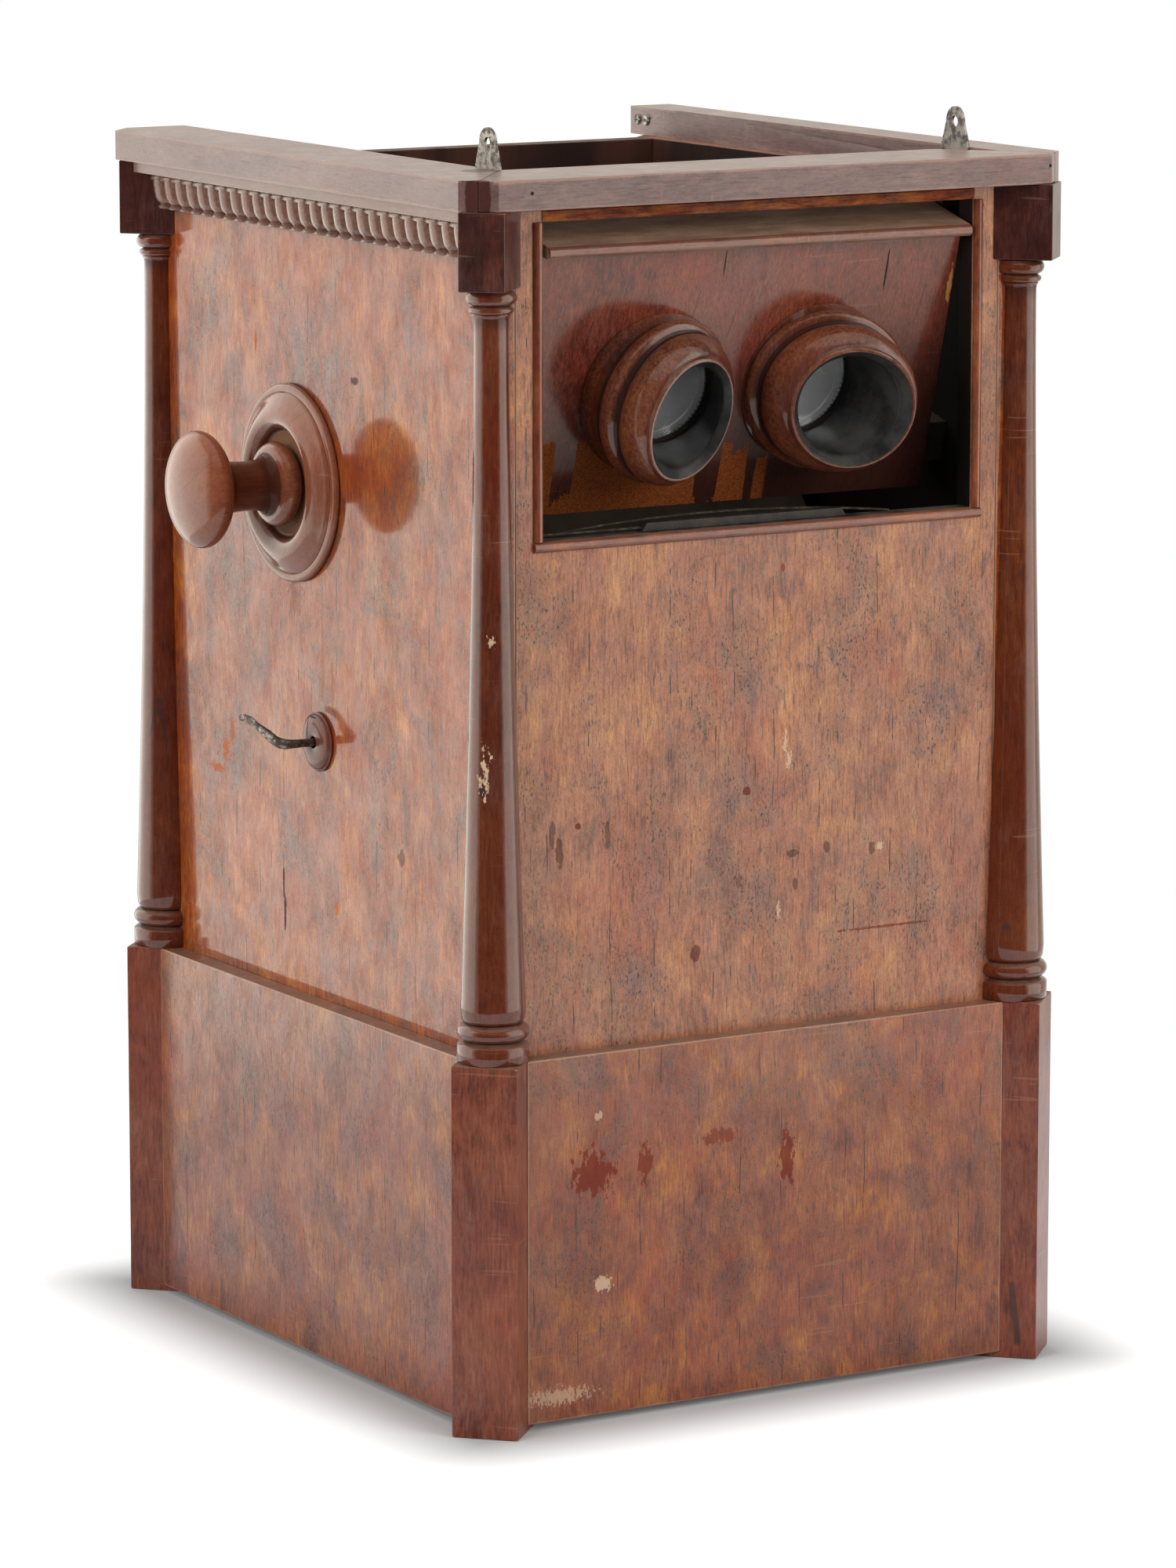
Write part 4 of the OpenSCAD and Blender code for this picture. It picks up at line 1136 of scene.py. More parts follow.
def bulge(radius: float, low: float, high: float, steps: int = 12) -> list[tuple[float, float]]:
    """Gives the outline of a half-round bulge.

    Args:
        radius: The radius at its ends.
        low: Where it starts along the axis.
        high: Where it ends.
        steps: How many parts it has.

    Returns:
        Points as (radius, distance along the axis).
    """
    half = (high - low) / 2
    turns = [math.pi * (k / steps - 0.5) for k in range(steps + 1)]
    return [(radius + half * math.cos(a), (low + high) / 2 + half * math.sin(a)) for a in turns]


class Bench:
    """Makes pieces with operators, then shades, names and dresses them."""

    def __init__(self, nodes: dict[str, Piece]) -> None:
        """Takes the frame's nodes."""
        self.nodes = nodes

    @staticmethod
    def pick(piece: Piece) -> None:
        """Selects one piece alone and makes it active.

        Args:
            piece: The piece.
        """
        bpy.ops.object.select_all(action="DESELECT")
        piece.select_set(True)
        bpy.context.view_layer.objects.active = piece

    @staticmethod
    def edit(select: bool = True) -> None:
        """Enters edit mode with all or nothing selected."""
        bpy.ops.object.mode_set(mode="EDIT")
        bpy.ops.mesh.select_all(action="SELECT" if select else "DESELECT")

    @staticmethod
    def settle() -> None:
        """Moves the active piece's place, turn and scale into its mesh."""
        bpy.ops.object.transform_apply(location=True, rotation=True, scale=True)

    def smooth(self, angle: float = 35) -> None:
        """Leaves edit mode, settles the active piece and smooths its shallow edges.

        Args:
            angle: Edges shallower than this are smoothed, in degrees.
        """
        if bpy.context.object.mode == "EDIT":
            bpy.ops.object.mode_set(mode="OBJECT")
        self.settle()
        bpy.ops.object.shade_smooth_by_angle(angle=math.radians(angle))

    @staticmethod
    def modify(kind: str, **settings: object) -> None:
        """Adds a modifier to the active piece and applies it.

        Args:
            kind: The modifier's type.
            settings: Attributes to set on it.
        """
        bpy.ops.object.modifier_add(type=kind)
        modifier = bpy.context.object.modifiers[-1]
        for name, value in settings.items():
            setattr(modifier, name, value)
        bpy.ops.object.modifier_apply(modifier=modifier.name)

    def turned(self, name: str, outline: Outline, centre: tuple[float, float, float],
               axis: tuple[float, float, float], steps: int = 72) -> Piece:
        """Turns an outline about an axis, as on a lathe.

        Args:
            name: The piece's name.
            outline: Points as (radius, distance along the axis), in mm.
            centre: Where the distances start, in mm.
            axis: The axis.
            steps: How many sides it has.

        Returns:
            The piece.
        """
        along = Vector(axis)
        across = along.orthogonal().normalized()
        start = Vector(centre)
        points = [(start + across * r + along * h) * MM for r, h in outline]
        bpy.ops.object.select_all(action="DESELECT")
        bpy.ops.mesh.primitive_plane_add(size=MM, location=points[0])
        piece = bpy.context.object
        piece.name = name
        self.edit()
        bpy.ops.mesh.merge(type="CENTER")
        for old, new in zip(points, points[1:]):
            bpy.ops.mesh.extrude_vertices_move(TRANSFORM_OT_translate={"value": new - old})
        bpy.ops.mesh.select_all(action="SELECT")
        bpy.ops.mesh.spin(steps=steps, angle=math.tau, center=start * MM, axis=along)
        bpy.ops.mesh.select_all(action="SELECT")
        bpy.ops.mesh.remove_doubles(threshold=MERGE)
        bpy.ops.mesh.normals_make_consistent(inside=False)
        self.smooth(40)
        return piece

    def drawn(self, name: str, rings: Sequence[Ring], facing: tuple[float, float, float],
              axis: str = "Z", steps: int = 48, looped: bool = False) -> Piece:
        """Draws a ring out along a path.

        Args:
            name: The piece's name.
            rings: The rings from first to last.
            facing: Turn of the first ring in degrees.
            axis: The axis that the rings turn about.
            steps: How many sides it has.
            looped: Whether the last ring joins the first one, where the ends aren't closed.

        Returns:
            The piece.
        """
        path = list(rings) + ([rings[0]] if looped else [])
        bpy.ops.object.select_all(action="DESELECT")
        bpy.ops.mesh.primitive_circle_add(
            vertices=steps, radius=path[0].radius * MM, location=Vector(path[0].centre) * MM,
            rotation=[math.radians(a) for a in facing], fill_type="NOTHING")
        piece = bpy.context.object
        piece.name = name
        self.edit()
        for old, new in zip(path, path[1:]):
            centre = Vector(new.centre) * MM
            move = centre - Vector(old.centre) * MM
            bpy.ops.mesh.extrude_edges_move(TRANSFORM_OT_translate={"value": move})
            grow = new.radius / old.radius
            bpy.ops.transform.resize(value=(grow, grow, grow), center_override=centre)
            if new.turn != old.turn:
                bpy.ops.transform.rotate(value=-math.radians(new.turn - old.turn), orient_axis=axis,
                                         center_override=centre)
        bpy.ops.mesh.select_all(action="SELECT")
        if looped:
            bpy.ops.mesh.remove_doubles(threshold=MERGE)
        else:
            bpy.ops.mesh.fill_holes(sides=0)
        bpy.ops.mesh.normals_make_consistent(inside=False)
        self.smooth(40)
        return piece

    def block(self, name: str, low: tuple[float, float, float], high: tuple[float, float, float],
              bevel: float = 0.4) -> Piece:
        """Makes a block with softened edges.

        Args:
            name: The piece's name.
            low: Its lowest corner in mm.
            high: Its highest corner in mm.
            bevel: Width of its softened edges in mm.

        Returns:
            The piece.
        """
        size = Vector(high) - Vector(low)
        bpy.ops.object.select_all(action="DESELECT")
        bpy.ops.mesh.primitive_cube_add(size=MM, location=(Vector(low) + size / 2) * MM, scale=size)
        piece = bpy.context.object
        piece.name = name
        self.smooth()
        self.soften(bevel)
        return piece

    def soften(self, bevel: float) -> None:
        """Bevels the sharp edges of the active piece by so many mm and smooths them."""
        self.modify("BEVEL", width=bevel * MM, segments=2, limit_method="ANGLE",
                    angle_limit=math.radians(28), harden_normals=True)

    def worn(self, node: str, bevel: float = 0.5) -> Piece:
        """Copies a node and softens the copy's edges.

        Args:
            node: The node.
            bevel: Width of the softened edges in mm.

        Returns:
            The copy, standing for the node.
        """
        source = self.nodes[node]
        piece = bpy.data.objects.new(f"{node}_worn", source.data.copy())
        bpy.context.scene.collection.objects.link(piece)
        self.pick(piece)
        self.edit()
        bpy.ops.mesh.remove_doubles(threshold=2e-6)
        bpy.ops.mesh.dissolve_limited(angle_limit=math.radians(0.8))
        self.smooth()
        self.soften(bevel)
        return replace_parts(piece, node)

    def mirrored(self, piece: Piece, name: str) -> Piece:
        """Copies a piece to the other side of the case.

        Args:
            piece: The piece.
            name: The copy's name.

        Returns:
            The copy.
        """
        copy = bpy.data.objects.new(name, piece.data.copy())
        bpy.context.scene.collection.objects.link(copy)
        copy.scale.x = -1
        self.pick(copy)
        self.settle()
        self.edit()
        bpy.ops.mesh.normals_make_consistent(inside=False)
        self.smooth(40)
        return copy

    def join(self, name: str, pieces: Sequence[Piece]) -> Piece:
        """Joins pieces into the first one.

        Args:
            name: What the result is called.
            pieces: The pieces.

        Returns:
            The result.
        """
        self.pick(pieces[0])
        for piece in pieces:
            piece.select_set(True)
        bpy.ops.object.join()
        pieces[0].name = name
        return pieces[0]

    @staticmethod
    def paint(piece: Piece, material: bpy.types.Material) -> None:
        """Gives a piece one material."""
        piece.data.materials.clear()
        piece.data.materials.append(material)

    def fit(self, piece: Piece, body: Body, slot: str, *replaced: str) -> Piece:
        """Puts a finished piece on its body and reports it.

        Args:
            piece: The piece.
            body: The body that it rides on.
            slot: A finish slot's name, not used.
            replaced: The nodes that it stands for.

        Returns:
            The piece.
        """
        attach(piece, body.value)
        if replaced:
            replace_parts(piece, *replaced)
        LOG.info("%s: %d faces on %s", piece.name, len(piece.data.polygons), body.value)
        return piece

    @staticmethod
    def feel(piece: Piece, passes: int = 8, depth: float = 0.00035) -> None:
        """Stores how hollow a closely meshed piece is at each vertex, in its attribute hollow.

        Args:
            piece: The piece.
            passes: How far around each vertex it feels.
            depth: The depth in metres that counts as fully hollow.
        """
        mesh = piece.data
        places = np.empty(len(mesh.vertices) * 3)
        mesh.vertices.foreach_get("co", places)
        places = places.reshape(-1, 3)
        normals = np.array([v.normal for v in mesh.vertices])
        pairs = np.array([e.vertices[:] for e in mesh.edges])
        span = np.linalg.norm(places[pairs[:, 0]] - places[pairs[:, 1]], axis=1)
        pull = np.minimum(1.0, 0.0012 / span.clip(1e-6))[:, None]
        degree = np.ones((len(places), 1))
        np.add.at(degree, pairs[:, 0], pull)
        np.add.at(degree, pairs[:, 1], pull)
        smoothed = places
        for _ in range(passes):
            total = smoothed.copy()
            np.add.at(total, pairs[:, 0], smoothed[pairs[:, 1]] * pull)
            np.add.at(total, pairs[:, 1], smoothed[pairs[:, 0]] * pull)
            smoothed = total / degree
        hollow = ((smoothed - places) * normals).sum(1) / depth
        layer = mesh.attributes.new("hollow", "FLOAT", "POINT")
        layer.data.foreach_set("value", hollow.clip(-1, 1).astype(np.float32))

    def dress_wood(self, piece: Piece, finish: Wood, grain: Grain = Grain.UPRIGHT,
                   edges: bool = True, shade_hollows: bool = False) -> None:
        """Gives a piece a wood finish.

        Args:
            piece: The piece.
            finish: The finish.
            grain: Which way the grain runs.
            edges: Whether the edges of the piece's own box are rubbed.
            shade_hollows: Whether painted shade lies in the piece's hollows.
        """
        if shade_hollows:
            self.feel(piece)
        corners = [Vector(v.co) for v in piece.data.vertices]
        low = Vector([min(c[k] for c in corners) for k in range(3)])
        high = Vector([max(c[k] for c in corners) for k in range(3)])
        box = (low, high) if edges else (None, None)
        self.paint(piece, finish.build(f"{piece.name}_finish", grain, *box, shade_hollows))

    def dress_nodes(self, names: Iterable[str], finish: Metal | Matt | Glass | Wood) -> None:
        """Gives nodes that stay as they are a finish.

        Args:
            names: The nodes.
            finish: The finish.
        """
        for name in names:
            material = finish.build(f"{name}_finish")
            for slot in self.nodes[name].material_slots:
                slot.material = material
            LOG.info("%s: dressed as it is", name)


# ---------------------------------------------------------------------------------------------
# The cabinet
# ---------------------------------------------------------------------------------------------


@dataclass
class Case:
    """The plinth, posts, walls and bottom.

    Attributes:
        bench: Where the pieces are made.
        edge: Softening of the veneered edges in mm.
    """

    bench: Bench
    edge: float = 0.5

    def build(self) -> None:
        """Builds and dresses all the flat panels and corner blocks."""
        plan = [("front_panel", "veneer_front", FRONT_VENEER)]
        plan += [(node, "veneer_side", SIDE_VENEER)
                 for node in ("back_panel", "left_wall", "right_wall")]
        plan.append(("bottom_board", "inner_wood", INNER_WOOD))
        plan += [(f"plinth_{side}", "veneer_plinth", PLINTH_VENEER)
                 for side in ("front", "back", "left", "right")]
        plan += [(f"post_{place}", "turned_wood", POST_WOOD)
                 for place in ("front_left", "front_right", "back_left", "back_right")]
        plan.append(("capital_blocks", "turned_wood", CAPITAL_WOOD))
        for node, slot, finish in plan:
            piece = self.bench.worn(node, self.edge)
            self.bench.dress_wood(piece, finish, edges=node != "capital_blocks")
            self.bench.fit(piece, Body.CASE, slot)


@dataclass
class Columns:
    """The four turned columns.

    Attributes:
        bench: Where the pieces are made.
        half_width: Half the width of the case in mm.
        half_depth: Half the depth of the case in mm.
        foot: Height of the columns' feet in mm.
        head: Height of their tops in mm.
        foot_radius: Radius of the base ring in mm.
        neck_radius: Radius of the shaft under the astragal in mm.
    """

    bench: Bench
    half_width: float = HALF_WIDTH
    half_depth: float = HALF_DEPTH
    foot: float = 142.0
    head: float = 429.5
    foot_radius: float = 13.6
    neck_radius: float = 6.5

    def outline(self) -> list[tuple[float, float]]:
        """Gives half the outline of a column, from its foot up.

        Returns:
            Points as (radius, height), in mm.
        """
        foot, neck = self.foot + 21, self.head - 11.5
        points = [(0.0, self.foot), (self.foot_radius - 0.5, self.foot),
                  (self.foot_radius, self.foot + 0.6), (self.foot_radius, self.foot + 6.4),
                  (self.foot_radius - 0.5, self.foot + 7),
                  (self.foot_radius - 1.3, self.foot + 7.5)]
        points += bulge(self.foot_radius - 3.2, self.foot + 8.4, self.foot + 14.8)
        points += [(self.foot_radius - 2.2, self.foot + 15.6),
                   (self.foot_radius - 1.6, self.foot + 17)]
        swell = self.foot_radius - 1.3 - self.neck_radius
        points += [(self.neck_radius + swell * (1 - k / 20) ** 1.6, foot + (neck - foot) * k / 20)
                   for k in range(21)]
        points += [(self.neck_radius + 0.2, neck + 1.2), (self.neck_radius + 0.8, neck + 2.2)]
        points += bulge(self.neck_radius + 0.6, self.head - 8.8, self.head - 6.2, 8)
        points += bulge(self.neck_radius + 0.2, self.head - 5.8, self.head - 0.2)
        return points + [(0.0, self.head)]

    def build(self) -> None:
        """Turns one column and copies it to each corner."""
        for end, y in (("front", -self.half_depth), ("back", self.half_depth)):
            for side in Side:
                name = f"column_{end}_{side.name.lower()}"
                piece = self.bench.turned(f"{name}_turned", self.outline(),
                                          (side.value * self.half_width, y, 0), (0, 0, 1), 64)
                self.bench.dress_wood(piece, COLUMN_WOOD, edges=False, shade_hollows=True)
                self.bench.fit(piece, Body.CASE, "column_wood", name)


@dataclass
class Cornice:
    """The fillets and the gadrooned mouldings under the side rails.

    Attributes:
        bench: Where the pieces are made.
        wall: X of the case's outer face in mm.
        half_length: Half the length of the case's side in mm.
        top: Height of the moulding's top in mm.
        depth: Height of the moulding in mm.
        reeds: How many reeds it has.
    """

    bench: Bench
    wall: float = HALF_WIDTH
    half_length: float = HALF_DEPTH
    top: float = 453.9
    depth: float = 14.4
    reeds: int = 27

    def reed(self, y: float) -> Piece:
        """Models one reed: an S-shaped lobe with a pillow above it and a ball under it.

        Args:
            y: The reed's middle along the case, in mm.

        Returns:
            The reed.
        """
        shape = ((1.8, 0.9, 3.6, 4.2), (3.4, 0.8, 3.2, 4.8), (5.2, 0.6, 2.8, 5.1),
                 (7.0, 0.3, 2.5, 5.25), (9.0, 0.1, 2.2, 5.25), (10.5, 0.0, 2.0, 4.9),
                 (11.6, 0.0, 2.0, 3.8), (12.1, 0.1, 2.3, 3.1), (12.9, 0.2, 2.8, 3.6),
                 (13.7, 0.2, 2.7, 3.2), (14.3, 0.2, 2.4, 1.6))
        rings = [Ring((-self.wall - out, y + lag, self.top - down), radius)
                 for down, lag, out, radius in shape]
        lobe = self.bench.drawn("reed", rings, (0, 0, 0), steps=14)
        swell = ((-4.1, 0.4), (-3.6, 1.0), (-2.6, 1.3), (0, 1.4), (2.6, 1.3), (3.6, 1.0),
                 (4.1, 0.4))
        rings = [Ring((-self.wall - 6.5, y + 1.4 + along, self.top - 1.5 - along * 0.12), radius)
                 for along, radius in swell]
        pillow = self.bench.drawn("pillow", rings, (90, 0, 0), steps=12)
        return self.bench.join("reed", [lobe, pillow])

    def build(self) -> None:
        """Builds the mouldings and the fillets above them."""
        bench, wall, top = self.bench, self.wall, self.top
        pitch = (2 * self.half_length - 14) / self.reeds
        start = -pitch * (self.reeds - 1) / 2
        row = self.reed(start)
        bench.pick(row)
        bench.modify("ARRAY", count=self.reeds, use_relative_offset=False, use_constant_offset=True,
                     constant_offset_displace=(0, pitch * MM, 0))
        end = self.half_length - 6
        back = bench.block("backing", (-wall - 2.3, -end, top - self.depth), (-wall, end, top), 0.2)
        shelf = bench.block("shelf", (-wall - 6.8, -end, top - 3.2), (-wall, end, top), 0.9)
        lip = bench.block("lip", (-wall - 3.2, -end, top - self.depth),
                          (-wall, end, top - self.depth + 0.9), 0.3)
        left = bench.join("gadroon_left_carved", [row, back, shelf, lip])
        right = bench.mirrored(left, "gadroon_right_carved")
        for piece, node in ((left, "gadroon_left"), (right, "gadroon_right")):
            bench.dress_wood(piece, MOULDING_WOOD, Grain.ALONG_Y, edges=False, shade_hollows=True)
            bench.fit(piece, Body.CASE, "moulding_wood", node)
        piece = bench.worn("cornice_fillets", 0.4)
        bench.dress_wood(piece, MOULDING_WOOD, Grain.ALONG_Y, edges=False)
        bench.fit(piece, Body.CASE, "moulding_wood")


@dataclass
class Cap:
    """The worn rails on top, with their hinge lugs and screws.

    Attributes:
        bench: Where the pieces are made.
        edge: Softening of the rails' edges in mm.
    """

    bench: Bench
    edge: float = 0.7

    def build(self) -> None:
        """Builds and dresses the rails, lugs and screws."""
        for node, grain in (("cap_rail_left", Grain.ALONG_Y), ("cap_rail_right", Grain.ALONG_Y),
                            ("cap_rail_front", Grain.ALONG_X)):
            piece = self.bench.worn(node, self.edge)
            self.bench.dress_wood(piece, CAP_WOOD, grain)
            self.bench.fit(piece, Body.CASE, "cap_wood")
        for node in ("lug_left", "lug_right"):
            piece = self.bench.worn(node, 0.2)
            self.bench.paint(piece, STEEL.build(f"{node}_finish"))
            self.bench.fit(piece, Body.CASE, "old_steel")
        self.bench.dress_nodes(["slotted_screws"], STEEL)


@dataclass
class Opening:
    """The beads, the split strip and the loose parts on the sill.

    Attributes:
        bench: Where the pieces are made.
    """

    bench: Bench

    def build(self) -> None:
        """Builds and dresses the parts around the front opening."""
        for node, finish, grain, slot in (
                ("bead_sides", BEAD_WOOD, Grain.UPRIGHT, "bead_wood"),
                ("bead_sill", BEAD_WOOD, Grain.ALONG_X, "bead_wood"),
                ("front_split_strip", SPLIT_WOOD, Grain.ALONG_X, "bare_wood")):
            piece = self.bench.worn(node, 0.25)
            self.bench.dress_wood(piece, finish, grain, edges=False)
            self.bench.fit(piece, Body.CASE, slot)
        for node in ("sill_strip", "hinge_blocks", "board_stops"):
            piece = self.bench.worn(node, 0.4)
            self.bench.paint(piece, BLACKENED.build(f"{node}_finish"))
            self.bench.fit(piece, Body.CASE, "inner_wood")
        self.bench.dress_nodes(["leaf_spring", "sill_rod"], SPRING_STEEL)


@dataclass
class LensBoard:
    """The rocking board with its canopy, eyepieces and lenses.

    Attributes:
        bench: Where the pieces are made.
        lean: How far it leans in at rest, in radians.
        pivot: Y and Z of its pivot in mm.
        eyes: Distance between the middles of the two rims in mm.
        lenses: Distance between the lens axes in mm.
        face: Y of the board's front face in mm.
        height: Height of the lens axes in mm.
        rings: An eyepiece's outside, as (distance out, radius, turn in degrees), in mm.
    """

    bench: Bench
    lean: float = BOARD_LEAN
    pivot: tuple[float, float] = (PIVOT_Y, PIVOT_Z)
    eyes: float = 71.4
    lenses: float = LENS_SPACING
    face: float = BOARD_FACE
    height: float = LENS_HEIGHT
    rings: tuple[tuple[float, float, float], ...] = (
        (0, 31.2, 0), (0.9, 31.7, 0.8), (3.2, 30.6, 5.5), (5.6, 29.6, 9.6), (6.2, 30.2, 10.6),
        (7.0, 31.3, 11.8), (8.0, 31.8, 12.9), (9.2, 32.0, 13.6), (10.4, 31.8, 14.1),
        (11.4, 31.2, 14.5), (12.1, 30.2, 14.9), (12.6, 29.2, 15.2), (13.4, 28.5, 15.5),
        (14.4, 28.5, 15.9), (15.6, 29.1, 16.3), (17.2, 29.4, 16.7), (19, 29.4, 17.1),
        (21.4, 28.8, 17.6), (23.4, 27.9, 18.1), (25.0, 26.9, 18.5), (26.2, 26.0, 18.8),
        (27.0, 25.3, 18.95), (27.4, 24.7, 19.05), (28.0, 24.4, 19.2), (28.9, 24.2, 19.4),
        (29.4, 23.8, 19.5), (29.55, 23.3, 19.5), (29.5, 22.9, 19.5))

    def lay_back(self, piece: Piece) -> Piece:
        """Leans a piece that was made upright.

        Args:
            piece: The piece.

        Returns:
            The piece.
        """
        centre = Vector((0, self.pivot[0], self.pivot[1])) * MM
        turn = Matrix.Rotation(self.lean, 4, "X")
        piece.matrix_world = Matrix.Translation(centre) @ turn @ Matrix.Translation(-centre)
        self.bench.pick(piece)
        self.bench.settle()
        return piece

    def hood(self, side: Side) -> None:
        """Builds one eyepiece: its turned outside and its black bore.

        Args:
            side: The side of the board.
        """
        bench, tag = self.bench, side.name.lower()

        def ring(out: float, radius: float, yaw: float, bored: bool = False) -> Ring:
            """Places one ring, on the slanting bore's axis if it is bored.

            Args:
                out: Its distance out from the board's face, in mm.
                radius: Its radius in mm.
                yaw: Its turn outwards in degrees.
                bored: Whether it lies on the axis of the bore.

            Returns:
                The ring.
            """
            slant = (1 - out / 29.5) * (self.eyes - self.lenses) if bored else 0.0
            return Ring((side.value * (self.eyes - slant) / 2, self.face - out, self.height),
                        radius, -side.value * yaw)

        outside = [ring(*r) for r in self.rings]
        outside += [ring(27.6, 23.0, 19.1, True), ring(13, 22.4, 11, True), ring(0, 22.4, 0, True)]
        shell = bench.drawn(f"eyepiece_{tag}_turned", outside, (90, 0, 0), steps=96, looped=True)
        self.lay_back(shell)
        bench.dress_wood(shell, HOOD_WOOD, edges=False, shade_hollows=True)
        bench.fit(shell, Body.LENS_BOARD, "eyepiece_wood", f"eyepiece_{tag}")
        bore = [ring(0.1, 21.6, 0, True), ring(13, 21.6, 11, True), ring(27.4, 22.4, 19.1, True),
                ring(29.55, 23.1, 19.5), ring(29.2, 22.7, 19.4), ring(28.6, 22.2, 19.3),
                ring(27.2, 20.9, 19.0), ring(26.0, 19.9, 18.7), ring(25.7, 19.8, 18.6),
                ring(25.5, 20.2, 18.5, True), ring(18, 20.3, 14, True), ring(8, 20.4, 7, True),
                ring(0, 20.6, 0, True)]
        lining = bench.drawn(f"eyepiece_{tag}_bore", bore, (90, 0, 0), steps=96, looped=True)
        self.lay_back(lining)
        bench.paint(lining, BORE_PAINT.build(f"bore_{tag}_finish"))
        bench.fit(lining, Body.LENS_BOARD, "eyepiece_wood")

    def lens(self, side: Side) -> None:
        """Builds one biconvex lens.

        Args:
            side: The side of the board.
        """
        edge, rise, radius = 1.2, 2.2, 20.0
        sphere = (radius ** 2 + rise ** 2) / (2 * rise)
        top = math.asin(radius / sphere)
        cap = [(sphere * math.sin(top * k / 10),
                edge + rise - sphere * (1 - math.cos(top * k / 10))) for k in range(11)]
        outline = cap + [(r, -h) for r, h in reversed(cap)]
        piece = self.bench.turned(f"lens_{side.name.lower()}_ground", outline,
                                  (side.value * self.lenses / 2, self.face + 4, self.height),
                                  (0, -1, 0))
        self.lay_back(piece)
        self.bench.paint(piece, LENS_GLASS.build(f"{piece.name}_finish"))
        self.bench.fit(piece, Body.LENS_BOARD, "lens_glass", f"lens_{side.name.lower()}")

    def build(self) -> None:
        """Builds and dresses the whole rocking set."""
        for node, finish in (("lens_board", BOARD_WOOD), ("canopy", CANOPY_WOOD)):
            piece = self.bench.worn(node, 0.4)
            self.bench.dress_wood(piece, finish,
                                  Grain.ALONG_X if node == "canopy" else Grain.UPRIGHT, edges=False)
            self.bench.fit(piece, Body.LENS_BOARD, "board_wood")
        for side in Side:
            self.hood(side)
            self.lens(side)
        self.bench.dress_nodes(["lens_rings"], BORE_PAINT)
        self.bench.dress_nodes(["hinge_pins"], STEEL)


@dataclass
class Carousel:
    """The knobs and their rosettes, the drum, and the tapes with their cards.

    Attributes:
        bench: Where the pieces are made.
        wall: X of the case's outer face in mm.
        axle: Y and Z of the axle in mm.
        rosette: Radius of a rosette in mm.
        knob: Radius of a knob in mm.
        knob_at: Distance of the knob's middle from the middle of the case in mm.
    """

    bench: Bench
    wall: float = HALF_WIDTH
    axle: tuple[float, float] = (AXLE_Y, AXLE_Z)
    rosette: float = 38.5
    knob: float = 22.6
    knob_at: float = 157.0

    def rosette_outline(self) -> list[tuple[float, float]]:
        """Gives a rosette's outline, from its rim in to its hollow.

        Returns:
            Points as (radius, distance from the middle of the case), in mm.
        """
        shape = ((0.8, 0), (0, 0.9), (0, 1.9), (0.5, 2.6), (1.4, 3.0), (2.6, 3.1), (3.2, 3.0),
                 (3.5, 3.3), (4.0, 3.9), (4.8, 4.3), (6.0, 5.0), (7.6, 6.1), (9.4, 7.2),
                 (11.0, 7.9), (12.3, 8.2), (13.6, 8.0), (14.8, 7.5), (15.9, 6.6), (16.7, 5.4),
                 (17.2, 4.0), (17.6, 2.9), (18.4, 2.2), (20.4, 1.8), (22.0, 1.8), (24.0, 1.8),
                 (27.0, 1.8), (30.0, 1.8))
        points = [(self.rosette - inset, self.wall + rise) for inset, rise in shape]
        return [(6.0, self.wall), *points, (6.0, self.wall + 1.8)]

    def knob_outline(self) -> list[tuple[float, float]]:
        """Gives a knob's outline, from its root out to its face.

        Returns:
            Points as (radius, distance from the middle of the case), in mm.
        """
        wall, half, root = self.wall, 9.5, 10.6
        first = math.acos(root / self.knob)
        ball = [(self.knob * math.cos(a), self.knob_at + half * math.sin(a))
                for a in (-first + (math.pi / 2 + first) * k / 24 for k in range(24))]
        points = [(4.0, wall + 2.7), (11.6, wall + 2.7)]
        points += bulge(12.0, wall + 3.0, wall + 11.8, 14)
        points += [(11.4, wall + 12.3), (10.5, wall + 13.4), (9.9, wall + 15.4), (9.6, wall + 18.5),
                   (9.6, wall + 22.5), (9.8, wall + 26), (10.1, wall + 29), (10.4, wall + 31)]
        return points + ball + [(0.0, self.knob_at + half)]

    def build(self) -> None:
        """Builds and dresses the turned parts, then dresses the inside."""
        bench, centre = self.bench, (0, *self.axle)
        for side in Side:
            tag, axis = side.name.lower(), (side.value, 0, 0)
            piece = bench.turned(f"rosette_{tag}_turned", self.rosette_outline(), centre, axis, 96)
            bench.dress_wood(piece, ROSETTE_WOOD, edges=False, shade_hollows=True)
            bench.fit(piece, Body.CASE, "turned_wood", f"rosette_{tag}")
            piece = bench.turned(f"knob_{tag}_turned", self.knob_outline(), centre, axis, 80)
            bench.dress_wood(piece, KNOB_WOOD, Grain.ALONG_X, edges=False, shade_hollows=True)
            bench.fit(piece, Body.DRUM, "turned_wood", f"knob_{tag}")
        for nodes, finish in ((("card_drum", "drum_flanges"), INNER_WOOD), (("drum_axle",), STEEL),
                              (("axle_bushes",), BRASS), (("card_tapes",), TAPE),
                              (("card_holders",), TIN), (("stereo_cards",), CARD)):
            bench.dress_nodes(nodes, finish)


